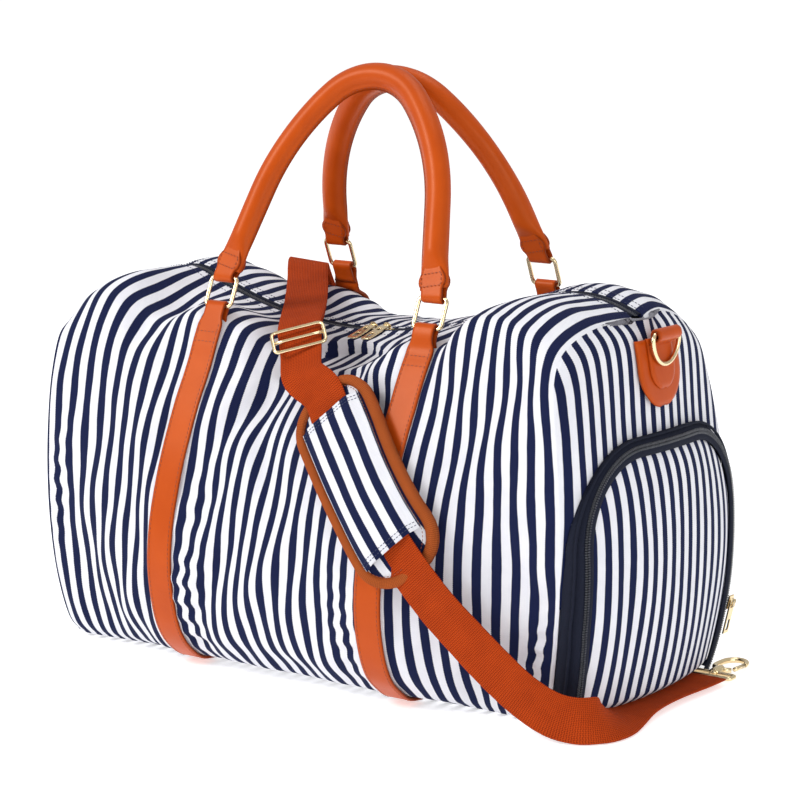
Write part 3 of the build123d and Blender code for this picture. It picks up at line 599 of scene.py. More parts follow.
BACK_FOLDS = [
    (-10, 262, 44, 28, 6, 9, 0),
    (58, 232, 12, 42, -16, 4, 0),
    (-66, 220, 11, 44, 18, 4, 0),
    (20, 160, 11, 52, 24, 3.4, 0),
    (-30, 96, 11, 50, -26, 3.0, 0),
    (-88, 66, 11, 38, -4, 1.4, 18),
    (86, 70, 10, 36, 5, 1.3, 17),
    (150, 200, 12, 56, 14, 3.0, 0),
    (-160, 190, 13, 60, -12, 3.0, 0),
    (205, 110, 11, 46, -10, 2.4, 0),
    (-215, 120, 11, 46, 12, 2.4, 0),
    (246, 150, 7, 30, 10, 1.8, 18),
    (-248, 90, 7, 30, -8, 1.6, 17),
    (0, 20, 90, 9, -2, 2.0, 0),
]
FOLD_GAIN = {"front": 1.35, "back": 1.15}
# sideways shift of the cloth: place (x, z), half sizes, shift
FRONT_SHIFTS = [(-30, 268, 26, 26, 5.5), (-34, 214, 26, 24, -5.0), (62, 240, 30, 30, 5.0),
                (-66, 150, 34, 40, 3.2), (-30, 70, 40, 36, -3.0), (210, 190, 32, 60, -2.5),
                (-190, 170, 36, 70, 2.5)]
BACK_SHIFTS = [(0, 262, 40, 26, 5.0), (-20, 190, 34, 36, -4.0), (40, 110, 36, 40, 3.0)]
# ripples all over the cloth: half turns per millimetre along x and z, start, size
RIPPLES = [(0.021, 0.013, 0.4, 1.0), (-0.034, 0.027, 1.7, 0.55),
           (0.052, -0.018, 3.1, 0.4), (0.083, 0.041, 0.9, 0.25)]


def fold_depth(x, z, folds):
    depth = np.zeros_like(x)
    for fx, fz, long_x, long_z, turn, deep, wave in folds:
        a = math.radians(turn)
        u = (x - fx) * math.cos(a) - (z - fz) * math.sin(a)
        v = (x - fx) * math.sin(a) + (z - fz) * math.cos(a)
        bump = np.exp(-(u / long_x) ** 2 / 2 - (v / long_z) ** 2 / 2)
        depth += deep * bump * (np.cos(2 * np.pi * v / wave) if wave else 1)
    for a, b, start, size in RIPPLES:
        depth += size * np.sin(2 * np.pi * (a * x + b * z) / 2 + start)
    return depth


def bulge_x(y, z, radius, apex):
    """How far out a dome of this radius stands at (y, z); its apex is (x, z)."""
    return apex[0] - radius + np.sqrt(radius ** 2 - y ** 2 - (z - apex[1]) ** 2)


def dome_x(y, z):
    return bulge_x(y, z, DOME_R, DOME_APEX)


def left_swell(y):
    """The left end stands out a little more near its seams."""
    return 11.0 * smoothstep((np.abs(y) - 50) / 60)


def door_x(y, z):
    return bulge_x(y, z, DOOR_R, DOOR_APEX)


def side_cloth(side):
    """The front or back cloth as a grid [along x, up and over], with its even coordinates."""
    us = np.arange(-SEAM_X, SEAM_X + 0.1, GRID)
    grid = np.array([[(u, SIGN[side] * y, z) for y, z in curve(section(u, side), count=ROWS)] for u in us])
    rows = np.array([lengths(column) for column in grid])
    x, z = grid[..., 0].copy(), grid[..., 2].copy()
    out = grid_normals(grid) * -SIGN[side]
    folds, shifts = (FRONT_FOLDS, FRONT_SHIFTS) if side == "front" else (BACK_FOLDS, BACK_SHIFTS)
    depth = fold_depth(x, z, folds)
    y = np.abs(grid[..., 1])
    loose = smoothstep((z - 2.5) / 14) * smoothstep((SEAM_X - np.abs(x)) / 14 + 0.12)
    loose = loose * np.where(z > 285, smoothstep((y - 36) / 40), 1)
    for strap_x in (-STRAP_X, STRAP_X):
        loose = loose * (1 - 0.75 * np.exp(-((x - strap_x) / 13) ** 2))
    sewn = 2.6 * np.exp(-((SEAM_X - np.abs(x)) / 5) ** 2) + 1.5 * np.exp(-((z - 2.5) / 5) ** 2)
    grid -= out * (FOLD_GAIN[side] * depth * loose + sewn)[..., None]
    for sx, sz, long_x, long_z, shift in shifts:
        push = shift * np.exp(-((x - sx) / long_x) ** 2 / 2 - ((z - sz) / long_z) ** 2 / 2)
        grid[..., 0] += push * loose
    ends = smoothstep((np.abs(x) - 150) / (SEAM_X - 150))
    seam_x = dome_x(np.abs(grid[..., 1]), grid[..., 2]) - SEAM_PULL
    seam_x = seam_x + np.where(x < 0, left_swell(grid[..., 1]), 0)
    grid[..., 0] += np.sign(x) * (seam_x - SEAM_X) * ends
    uv = np.stack([np.broadcast_to(us[:, None], rows.shape), rows], axis=-1)
    return grid, uv


cloth = {side: side_cloth(side) for side in SIGN}


def face_y(x, z):
    """Distance from the middle to the smooth front cloth at a height."""
    points = curve(section(x, "front"), count=90)
    face = points[:int(np.argmax(points[:, 1] > 282)) or 60]
    return float(np.interp(z, face[:, 1], face[:, 0]))


def bag_sides():
    """Each side is one cloth in three parts, cut at OPEN_X beside the mouth."""
    for side, sign in SIGN.items():
        grid, uv = cloth[side]
        out = grid_normals(grid) * -sign
        cuts = [0] + [int(round((x + SEAM_X) / GRID)) for x in OPEN_X] + [len(grid) - 1]
        for part, low, high in zip(("left", "middle", "right"), cuts, cuts[1:]):
            span = slice(low, high + 1)
            ob = wall(f"{side}_cloth_{part}", grid[span], uv[span], [CANVAS, LINING], 2.2, None, 1, out[span])
            follow_mouth(ob, side, part, MOUTH_FADE[0], MOUTH_FADE[1])
            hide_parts(f"{side}_panel")
            if part == "middle":
                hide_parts(f"{side}_mouth_flap")


def follow_mouth(ob, side, part, start_y, end_y):
    """Works out the reach to the mouth, and for the end parts a slope that closes to nothing, but only bakes the
    piece's transform; it bends nothing.
    """
    sign = SIGN[side]
    reach = start_y - end_y
    start, end = Vector((0, sign * start_y, 0)), Vector((0, sign * end_y, 0))
    if part != "middle":
        open_x, stop_x = (OPEN_X[0], SPREAD_X[0]) if part == "left" else (OPEN_X[1], SPREAD_X[1])
        hem = (start_y - HEM[0][0]) / reach
        slope = Vector((hem / (open_x - stop_x), -sign / reach, 0))
        way = slope / slope.length_squared
        start = Vector((open_x, sign * start_y, 0))
        end = start + way
    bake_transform(ob)


bag_sides()
outline_rows = ROWS - 5


def end_wall(sign):
    """The cloth of one end between the front and back seams, row by row."""
    column = -1 if sign > 0 else 0
    front, back = cloth["front"][0][column][:outline_rows], cloth["back"][0][column][:outline_rows]
    steps = 66
    t = np.linspace(0, 1, steps + 1)[None, :, None]
    grid = front[:, None] * (1 - t) + back[:, None] * t
    seam = np.concatenate([front, back[::-1]])[:, 1:]
    gap = np.sqrt(((grid[:, :, None, 1:] - seam[None, None]) ** 2).sum(-1)).min(axis=2)
    x = dome_x(grid[..., 1], grid[..., 2]) - SEAM_PULL * np.exp(-gap / 8)
    ripple = (0.9 * np.sin(grid[..., 1] / 17 + 1.1) * np.sin(grid[..., 2] / 31)
              + 1.2 * np.sin(grid[..., 2] / 23 + 0.7))
    x += ripple * smoothstep(gap / 22)
    if sign < 0:
        x += left_swell(grid[..., 1])
    edge_x = np.abs(np.concatenate([grid[:, :1, 0], grid[:, -1:, 0]], axis=1))
    hold = np.exp(-gap / 3)
    side_x = edge_x[:, :1] * (1 - t[..., 0]) + edge_x[:, 1:] * t[..., 0]
    grid[..., 0] = sign * (x * (1 - hold) + side_x * hold)
    return grid, seam


def arch_half(z, seam):
    """Half width of the shoe zip's teeth line at a height, kept inside the side seams."""
    near = seam[np.abs(seam[:, 1] - z).argmin()]
    return min(TEETH_HALF, abs(near[0]) - 5.5)


def arch_line(aside, seam, step=3.0, foot=2.5):
    """Points (y, z) of the shoe zip's line, moved outwards by aside."""
    side = TEETH_TOP - TEETH_CORNER
    flat = TEETH_HALF - TEETH_CORNER
    legs = np.arange(foot, side, step)
    leg = [(-(arch_half(z, seam) + aside), z) for z in legs]
    radius = TEETH_CORNER + aside
    bend = [(-flat - radius * math.cos(a), side + radius * math.sin(a))
            for a in np.linspace(0, math.pi / 2, int(120 / step) + 1)]
    top = [(y, TEETH_TOP + aside) for y in np.linspace(-flat, 0, int(flat / step) + 1)[1:]]
    half = leg + bend + top
    return np.array(half + [(-y, z) for y, z in reversed(half[:-1])])


end_grid = {"left": end_wall(-1), "right": end_wall(1)}
right_seam = end_grid["right"][1]


def bag_ends():
    grid, _ = end_grid["left"]
    uv = grid[..., 1:].copy()
    ob = wall("left_end_cloth", grid, uv, [CANVAS, LINING], 2.2, outward=1)
    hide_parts("left_end_panel")
    grid, seam = end_grid["right"]
    inside = arch_line(BAND - 4, seam)
    ob = wall("right_end_cloth", grid, grid[..., 1:].copy(), [CANVAS, LINING], 2.2, outward=-1)
    keep_out(ob, inside)
    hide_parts("right_end_panel")


def keep_out(ob, line):
    """Cuts the faces of an end cloth that lie inside an arch, hidden under the zip band."""
    bm = bmesh.new()
    bm.from_mesh(ob.data)
    half = np.abs(line[:len(line) // 2 + 1])
    gone = []
    for face in bm.faces:
        middle = face.calc_center_median() / MM
        if middle.z < TEETH_TOP + BAND - 4:
            if abs(middle.y) < np.interp(middle.z, half[:, 1], half[:, 0]):
                gone.append(face)
    bmesh.ops.delete(bm, geom=gone, context="FACES")
    bm.to_mesh(ob.data)
    bm.free()


bag_ends()


def end_x(y, z):
    gap = np.sqrt(((right_seam - (y, z)) ** 2).sum(1)).min()
    return float(dome_x(y, z) - SEAM_PULL * math.exp(-gap / 8))


def base():
    front, back = cloth["front"][0][:, 0], cloth["back"][0][:, 0]
    t = np.linspace(0, 1, 50)
    grid = front[:, None] * (1 - t[None, :, None]) + back[:, None] * t[None, :, None]
    inset = np.minimum(t, 1 - t)[None, :] * 236
    ends = 258 - np.abs(grid[..., 0])
    down = smoothstep(np.minimum(inset, ends) / 12)
    grid[..., 2] = grid[..., 2] * (1 - down) + 0.3 * down
    ob = wall("base_cloth", grid, grid[..., :2].copy(), [CANVAS, LINING], 1.8, outward=-1)
    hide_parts("base_panel")


base()


def inner_lining():
    """Loose grey lining that hangs inside the canvas."""
    parts = []
    for side, sign in SIGN.items():
        grid, uv = cloth[side]
        out = grid_normals(grid) * -sign
        rows = int(ROWS * 0.62)
        cols = slice(6, 104)
        inner = (grid - out * 4.2)[cols, 2:rows]
        parts.append(wall(f"{side}_lining", inner, uv[cols, 2:rows], LINING, 0.8, None, outward=-sign))
    floor_x = np.linspace(-236, 150, 60)
    floor_y = np.linspace(-112, 112, 30)
    grid = np.stack(np.meshgrid(floor_x, floor_y, indexing="ij") + [np.full((60, 30), 10.5)], axis=-1)
    grid[..., 2] += 0.8 * np.sin(grid[..., 0] / 23) * np.sin(grid[..., 1] / 31)
    parts.append(wall("lining_floor", grid, grid[..., :2].copy(), LINING, 0.8, None))
    ob = join("lining_cloth", *parts)
    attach(ob, "root")
    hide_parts("lining")


inner_lining()

# ---- shoe compartment ---------------------------------------------------------------------
def arch_point(yz, drop):
    """Place on the stuffed door, or lower by drop towards the end cloth."""
    high = float(door_x(yz[0], yz[1]))
    low = end_x(yz[0], yz[1]) + 0.8
    return (high * (1 - drop) + low * drop, yz[0], yz[1])


def shoe_door():
    line = arch_line(-6.6, right_seam)
    half = line[:len(line) // 2 + 1]
    rows = half[np.abs(half[:, 0]) >= TEETH_HALF - TEETH_CORNER - 0.1]
    columns = 60
    t = np.linspace(-1, 1, columns + 1)
    y = np.abs(rows[:, :1]) * t[None]
    z = np.broadcast_to(rows[:, 1:], y.shape)
    gap = np.sqrt(((np.stack([y, z], -1)[:, :, None] - line[None, None]) ** 2).sum(-1)).min(axis=2)
    x = door_x(y, z) - 3.2 * np.exp(-gap / 6) + 1.4 * smoothstep(gap / 30)
    buckle = 1.3 * np.sin(y / 7.5 + z / 60) * np.exp(-((y + 70) / 26) ** 2) * np.exp(-((z - 120) / 60) ** 2)
    x += (buckle + 0.8 * np.sin(y / 21 + 0.6) * np.sin(z / 27)) * smoothstep(gap / 16)
    x -= 12 * (1 - smoothstep(z / 15))
    grid = np.stack([x, y, z], axis=-1)
    ob = wall("shoe_door_cloth", grid, grid[..., 1:].copy(), [CANVAS, LINING], 2.2, None, -1)
    hinge_bend(ob)
    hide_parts("shoe_flap", "shoe_apron")


def hinge_bend(ob):
    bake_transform(ob)


def shoe_zip():
    """Navy bands each side of the teeth; the inner one belongs to the door."""
    def strip(name, asides, drops, body):
        lines = [arch_line(a, right_seam) for a in asides]
        grid = np.array([[arch_point(line[i], drop) for line, drop in zip(lines, drops)]
                         for i in range(len(lines[0]))])
        run = lengths(grid[:, 0])
        uv = np.stack(np.broadcast_arrays(np.array(asides)[None], run[:, None]), axis=-1)
        return wall(name, grid, uv, TAPE, 1.0, body)

    outer = strip("shoe_zip_outer_tape", [1.0, 2.6, 4.4, 6.0, 7.4], [0, 0.02, 0.22, 0.6, 1.0], "root")
    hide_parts("shoe_zip_tape")
    inner = strip("shoe_zip_inner_tape", [-1.0, -3.0, -5.2, -7.6], [0.0, 0.02, 0.05, 0.12], None)
    hinge_bend(inner)
    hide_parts("shoe_flap_tape")
    piping_line = [arch_point(p, 0.45) for p in arch_line(6.4, right_seam)]
    ways = unit([(1, 0.4 * p[1] / 118, 0.4 * (p[2] - 100) / 118) for p in piping_line])
    path = np.array(piping_line) + ways * 1.2
    piping = loft("shoe_zip_piping", rings_along(path, ways, round_section(1.25, 10)), TAPE)
    for name, aside, body in (("shoe_zip_outer_teeth", 1.25, "root"), ("shoe_zip_inner_teeth", -1.25, None)):
        line = np.array([arch_point(p, 0) for p in arch_line(aside, right_seam)])
        teeth = beads(name, [line + (0.9, 0, 0)], [(1, 0, 0)], 2.1, (1.25, 3.0, 2.2), COIL, body)
        if body is None:
            hinge_bend(teeth)
        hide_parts("shoe_zip_coil")


shoe_door()
shoe_zip()

# ---- top zip ------------------------------------------------------------------------------
def zip_line(xs, y, drop):
    return np.array([(x, y, roof_z(x) - drop) for x in xs])


def top_zip():
    for side, sign in SIGN.items():
        spans = {"left": (-256, OPEN_X[0]), "middle": OPEN_X, "right": (OPEN_X[1], 256)}
        for part, (low, high) in spans.items():
            xs = np.linspace(low, high, int((high - low) / 4) + 1)
            ys = (0.35, 2.4, 3.2, 6.9, 8.0, 13.0)
            drops = (2.4, 2.4, 1.9, 0.9, 3.0, 4.1)
            grid = np.stack([zip_line(xs, sign * y, drop) for y, drop in zip(ys, drops)], axis=1)
            uv = np.stack(np.broadcast_arrays(np.array(ys)[None], xs[:, None]), axis=-1)
            tape = wall(f"{side}_zip_tape_{part}", grid, uv, TAPE, 0.7, None, outward=-sign)
            teeth = beads(f"{side}_zip_teeth_{part}", [zip_line(xs, sign * 1.2, 1.6)], [(0, 0, 1)], 1.7,
                          (1.2, 2.7, 1.4), COIL, None)
            for ob, slot, node in ((tape, "zip_tape", "tape"), (teeth, "zip_coil", "coil")):
                follow_mouth(ob, side, part, MOUTH_FADE[0], MOUTH_FADE[1])
                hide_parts(f"{side}_zip_{node}" if part == "middle" else f"zip_end_{node}s")


top_zip()


def sewn_line(side, part, v_back, lift=0.35):
    """Path on the cloth at a distance back from the hem fold, with its outward ways."""
    grid, uv = cloth[side]
    out = grid_normals(grid) * -SIGN[side]
    cuts = {"left": (2, 43), "middle": (43, 76), "right": (76, 129)}[part]
    path, ways = [], []
    for i in range(cuts[0], cuts[1] + 1):
        total = uv[i, -1, 1]
        at = np.interp(total - v_back, uv[i, :, 1], np.arange(ROWS))
        j = int(at)
        t = at - j
        path.append(grid[i, j] * (1 - t) + grid[i, min(j + 1, ROWS - 1)] * t + out[i, j] * lift)
        ways.append(out[i, j])
    return np.array(path), np.array(ways)


def zip_stitches():
    for side in SIGN:
        for part in ("left", "middle", "right"):
            lines = [sewn_line(side, part, back) for back in (6.2, 13.5)]
            ob = beads(f"{side}_zip_stitches_{part}", [p for p, _ in lines], [w for _, w in lines], 3.4,
                       (2.5, 0.75, 0.55), NAVY_THREAD, None)
            follow_mouth(ob, side, part, MOUTH_FADE[0], MOUTH_FADE[1])


zip_stitches()


def plate(outline, thick, bevel=0.35, holes=()):
    """Points and faces of a flat plate with softened edges and holes."""
    made = bpy.data.curves.new("plate", "CURVE")
    made.dimensions = "2D"
    made.fill_mode = "BOTH"
    made.extrude = (thick / 2 - bevel) * MM
    made.bevel_depth = bevel * MM
    made.bevel_resolution = 2
    for ring in (outline, *holes):
        spline = made.splines.new("POLY")
        spline.points.add(len(ring) - 1)
        for point, (x, y) in zip(spline.points, ring):
            point.co = (x * MM, y * MM, 0, 1)
        spline.use_cyclic_u = True
    shown = bpy.data.objects.new("plate", made)
    bpy.context.scene.collection.objects.link(shown)
    mesh = bpy.data.meshes.new_from_object(shown.evaluated_get(bpy.context.evaluated_depsgraph_get()))
    bpy.data.objects.remove(shown)
    points = np.array([v.co for v in mesh.vertices]) / MM
    faces = [tuple(p.vertices) for p in mesh.polygons]
    return points, faces


def round_outline(wide, long, radius, centre=(0, 0), steps=5):
    points = []
    for cx, cy, start in ((1, 1, 0), (-1, 1, 90), (-1, -1, 180), (1, -1, 270)):
        for i in range(steps + 1):
            a = math.radians(start + 90 * i / steps)
            points.append((centre[0] + cx * (wide / 2 - radius) + radius * math.cos(a),
                           centre[1] + cy * (long / 2 - radius) + radius * math.sin(a)))
    return points


def placed(name, parts, origin, axes, mat, body):
    """Joins local parts and puts them at origin with axes as rows (x, y, z ways)."""
    verts, faces = [], []
    for points, polygons in parts:
        start = len(verts)
        verts += points.tolist()
        faces += [tuple(start + i for i in f) for f in polygons]
    world = np.array(verts) @ np.array(axes, float) + np.array(origin, float)
    ob = make(name, world, faces, mat, body=body)
    ob.data.set_sharp_from_angle(angle=math.radians(35))
    return ob


SLIDER_OUTLINE = ((-5.5, -2.6), (-3, -3.6), (2.5, -4.6), (5.2, -4.2), (5.5, -1.6), (3.6, 0),
                  (5.5, 1.6), (5.2, 4.2), (2.5, 4.6), (-3, 3.6), (-5.5, 2.6))
BAIL_PATH = ((-3.6, 0, -1.6), (-3.2, 0, 1.4), (-1.6, 0, 2.5), (1.2, 0, 2.5), (2.8, 0, 1.2), (3.0, 0, -1.6))
SLIDER_AT = {"left": -14, "right": 1}      # where each top slider rests along the bag
SLIDER_LIFT = 1.6                          # and how far above the top line it sits


def zip_hardware():
    """The top zip's sliders with their bails, and the pulls that droop over the front cloth."""
    for side, slider_x in SLIDER_AT.items():
        a = math.asin((slider_x - SAG_X) / SAG_R)
        along = (math.cos(a), 0, math.sin(a))
        up = (-math.sin(a), 0, math.cos(a))
        at = (SAG_X + (SAG_R - SLIDER_LIFT) * math.sin(a), 0,
              SAG_Z + SAG_R - (SAG_R - SLIDER_LIFT) * math.cos(a))
        turn = 1 if side == "left" else -1
        body_points, body_faces = plate([(x * turn, y) for x, y in SLIDER_OUTLINE][::turn], 1.6)
        body_points[:, 2] -= 2.3
        bail = rings_along(BAIL_PATH, (0, 1, 0), flat_section(3.4, 0.9, 2)[0])
        n, m = bail.shape[:2]
        ids = np.arange(n * m).reshape(n, m)
        bail_faces = [(ids[i, j], ids[i + 1, j], ids[i + 1, (j + 1) % m], ids[i, (j + 1) % m])
                      for i in range(n - 1) for j in range(m)] + [tuple(ids[0]), tuple(ids[-1][::-1])]
        ob = placed(f"{side}_slider", [(body_points, body_faces), (bail.reshape(-1, 3), bail_faces)], at,
                    (along, (0, 1, 0), up), GOLD, f"{side}_slider")
        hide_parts(f"{side}_zip_slider")
        tag = plate(round_outline(9.6, 29, 1.8, (0, -18.6)), 1.5, 0.35,
                    (round_outline(5.0, 9.6, 0.8, (0, -25.0)), round_outline(5.0, 6.0, 0.8, (0, -11.8))))
        eye = plate(round_outline(5.8, 7.2, 1.6, (0, -2.2)), 1.3, 0.3,
                    (round_outline(3.4, 3.6, 0.9, (0, -0.6)),))
        for points, lift in ((tag[0], 1.6), (eye[0], 1.5)):
            points[:, 2] += lift + PULL_DROOP * np.minimum(points[:, 1] + 2, 0)
        ob = placed(f"{side}_pull", [tag, eye], at, (along, (0, 1, 0), up), GOLD, f"{side}_pull")
        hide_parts(f"{side}_zip_pull")


zip_hardware()

# ---- rings, leather straps and handles ----------------------------------------------------
def ring_frame(side):
    """Low bar of the rings at x = 0, the way up the handle, its reach, and its outer face's way."""
    slope_y, slope_z = 71.0 - 128.0, 345.0 - 252.0
    slope = math.hypot(slope_y, slope_z)
    bar_z, stand = BAR_Z[side], LOOP_OUT + 0.5
    y = 128.0 + slope_y * (bar_z - 252.0) / slope_z + stand * slope_z / slope
    z = bar_z - stand * slope_y / slope
    top_y, top_z = HANDLE_TOP[side]
    reach = math.hypot(y - top_y, top_z - z)
    up = np.array([0, -SIGN[side] * (y - top_y) / reach, (top_z - z) / reach])
    out = np.array([0, SIGN[side] * up[2], -SIGN[side] * up[1]])
    return np.array([0, SIGN[side] * y, z]), up, reach, out


def rounded_loop(corners, radius, steps=6):
    """Closed line round corners given in a plane, as 2-D points."""
    points = []
    corners = [np.array(c, float) for c in corners]
    for i, corner in enumerate(corners):
        a = corner + unit(corners[i - 1] - corner) * radius
        b = corner + unit(corners[(i + 1) % len(corners)] - corner) * radius
        for t in np.linspace(0, 1, steps + 1):
            points.append(a * (1 - t) ** 2 + 2 * corner * t * (1 - t) + b * t * t)
    return np.array(points)


def rings():
    for side in SIGN:
        low, up, _, out = ring_frame(side)
        half, rise = (RING_WIDE - WIRE) / 2, RING_HIGH - WIRE
        for hand, x in (("left", -STRAP_X), ("right", STRAP_X)):
            flat = rounded_loop([(-half, 0), (half, 0), (half, rise), (-half, rise)], 4.5)
            path = low + np.outer(flat[:, 0] + x, (1, 0, 0)) + np.outer(flat[:, 1], up)
            ob = wire(f"{side}_{hand}_ring_wire", path, WIRE / 2, f"{side}_rings", True, out)
            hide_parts(f"{side}_{hand}_ring")


def strap_path(side, x):
    """Middle line of a leather strap: over the cloth from the base and round the ring's bar."""
    grid = cloth[side][0]
    low, up, _, out = ring_frame(side)
    i = int(round((x + SEAM_X) / GRID))
    column = grid[i - 3:i + 4].mean(axis=0)
    face = column[(column[:, 2] > 3.5) & (np.abs(column[:, 1]) > 88) & (column[:, 2] < low[2] - 15)][::5]
    normal = unit(np.cross(np.gradient(face, axis=0), (1, 0, 0)))
    if np.sign(normal[len(face) // 2][1]) != SIGN[side]:
        normal = -normal
    body = face + normal * 2.0
    radius = (LOOP_IN + LOOP_OUT) / 2
    front = low + out * radius - up * 7
    turn = [low + out * radius * math.cos(a) + up * radius * math.sin(a) for a in np.linspace(0, math.pi, 7)]
    behind = [low - out * (radius - 0.4) - up * 6, low - out * (radius + 0.3) - up * 15]
    body[0] = face[0] + normal[0] * 0.6
    points = np.vstack([body, front, turn, behind])
    points[:, 0] = x
    over = [out * math.cos(a) + up * math.sin(a) for a in np.linspace(0, math.pi, 7)]
    ways = np.vstack([normal, out, over, -out, -out])
    return curve(np.hstack([points, ways]), step=3.0)


def leather_straps():
    for side in SIGN:
        low = ring_frame(side)[0]
        for hand, x in (("left", -STRAP_X), ("right", STRAP_X)):
            line = strap_path(side, x)
            path, way = line[:, :3], unit(line[:, 3:])
            near = np.linalg.norm(path - (low + (x, 0, 0)), axis=1)
            narrow = smoothstep((19 - near) / 9)
            wide = STRAP_WIDE + (LOOP_WIDE - STRAP_WIDE) * narrow
            shape, edge = flat_section(STRAP_WIDE, 2.4)
            section_at = shape[None] * np.stack([wide / STRAP_WIDE, np.ones(len(wide))], -1)[:, None]
            rings_at = rings_along(path, way, section_at)
            ob = loft(f"{side}_{hand}_strap_leather", rings_at, LEATHER, edge=edge[None])
            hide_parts(f"{side}_{hand}_strap")
            stop = np.flatnonzero(near < 17)[0]
            across = unit(np.cross(np.gradient(path, axis=0), way))
            lines, ways = [], []
            for hand_side in (-1, 1):
                lines.append((path + across * hand_side * (STRAP_WIDE / 2 - 3.0) + way * 1.28)[2:stop])
                ways.append(way[2:stop])
            for back in (3, 6):
                i = stop - back
                lines.append(path[i] + way[i] * 1.28 + np.outer(np.linspace(-10.5, 10.5, 8), across[i]))
                ways.append(np.repeat(way[i:i + 1], 8, axis=0))
            ob = beads(f"{side}_{hand}_strap_stitches", lines, ways, 3.9, (2.9, 0.75, 0.5),
                       TAN_THREAD, slant=0.12)


def handle_line(side):
    """Arch from leg to leg in the plane of the rings: (x, height up the plane)."""
    _, _, reach, _ = ring_frame(side)
    lean, crest = math.radians(LEG_LEAN), math.radians(CREST_HALF)
    rise = RING_HIGH - WIRE
    wide = STRAP_X - CREST_R * math.sin(crest)
    drop = reach - rise - CREST_R * (1 - math.cos(crest))
    a, b = math.cos(lean) - math.sin(crest), math.sin(lean)
    c, d = math.cos(crest) - math.sin(lean), math.cos(lean)
    side_r = (wide * d - b * drop) / (a * d - b * c)
    leg = (a * drop - c * wide) / (a * d - b * c)
    knee = np.array([STRAP_X - leg * math.sin(lean), rise + leg * math.cos(lean)])
    centre = knee - side_r * np.array([math.cos(lean), math.sin(lean)])
    half = [(STRAP_X - t * math.sin(lean), rise + t * math.cos(lean)) for t in np.linspace(8, leg, 10)[:-1]]
    half += [centre + side_r * np.array([math.cos(t), math.sin(t)])
             for t in np.linspace(lean, math.pi / 2 - crest, 12)[:-1]]
    half += [(CREST_R * math.sin(t), reach - CREST_R * (1 - math.cos(t))) for t in np.linspace(crest, 0, 9)]
    half = np.array([tuple(p) for p in half])
    return np.vstack([half, half[-2::-1] * (-1, 1)])


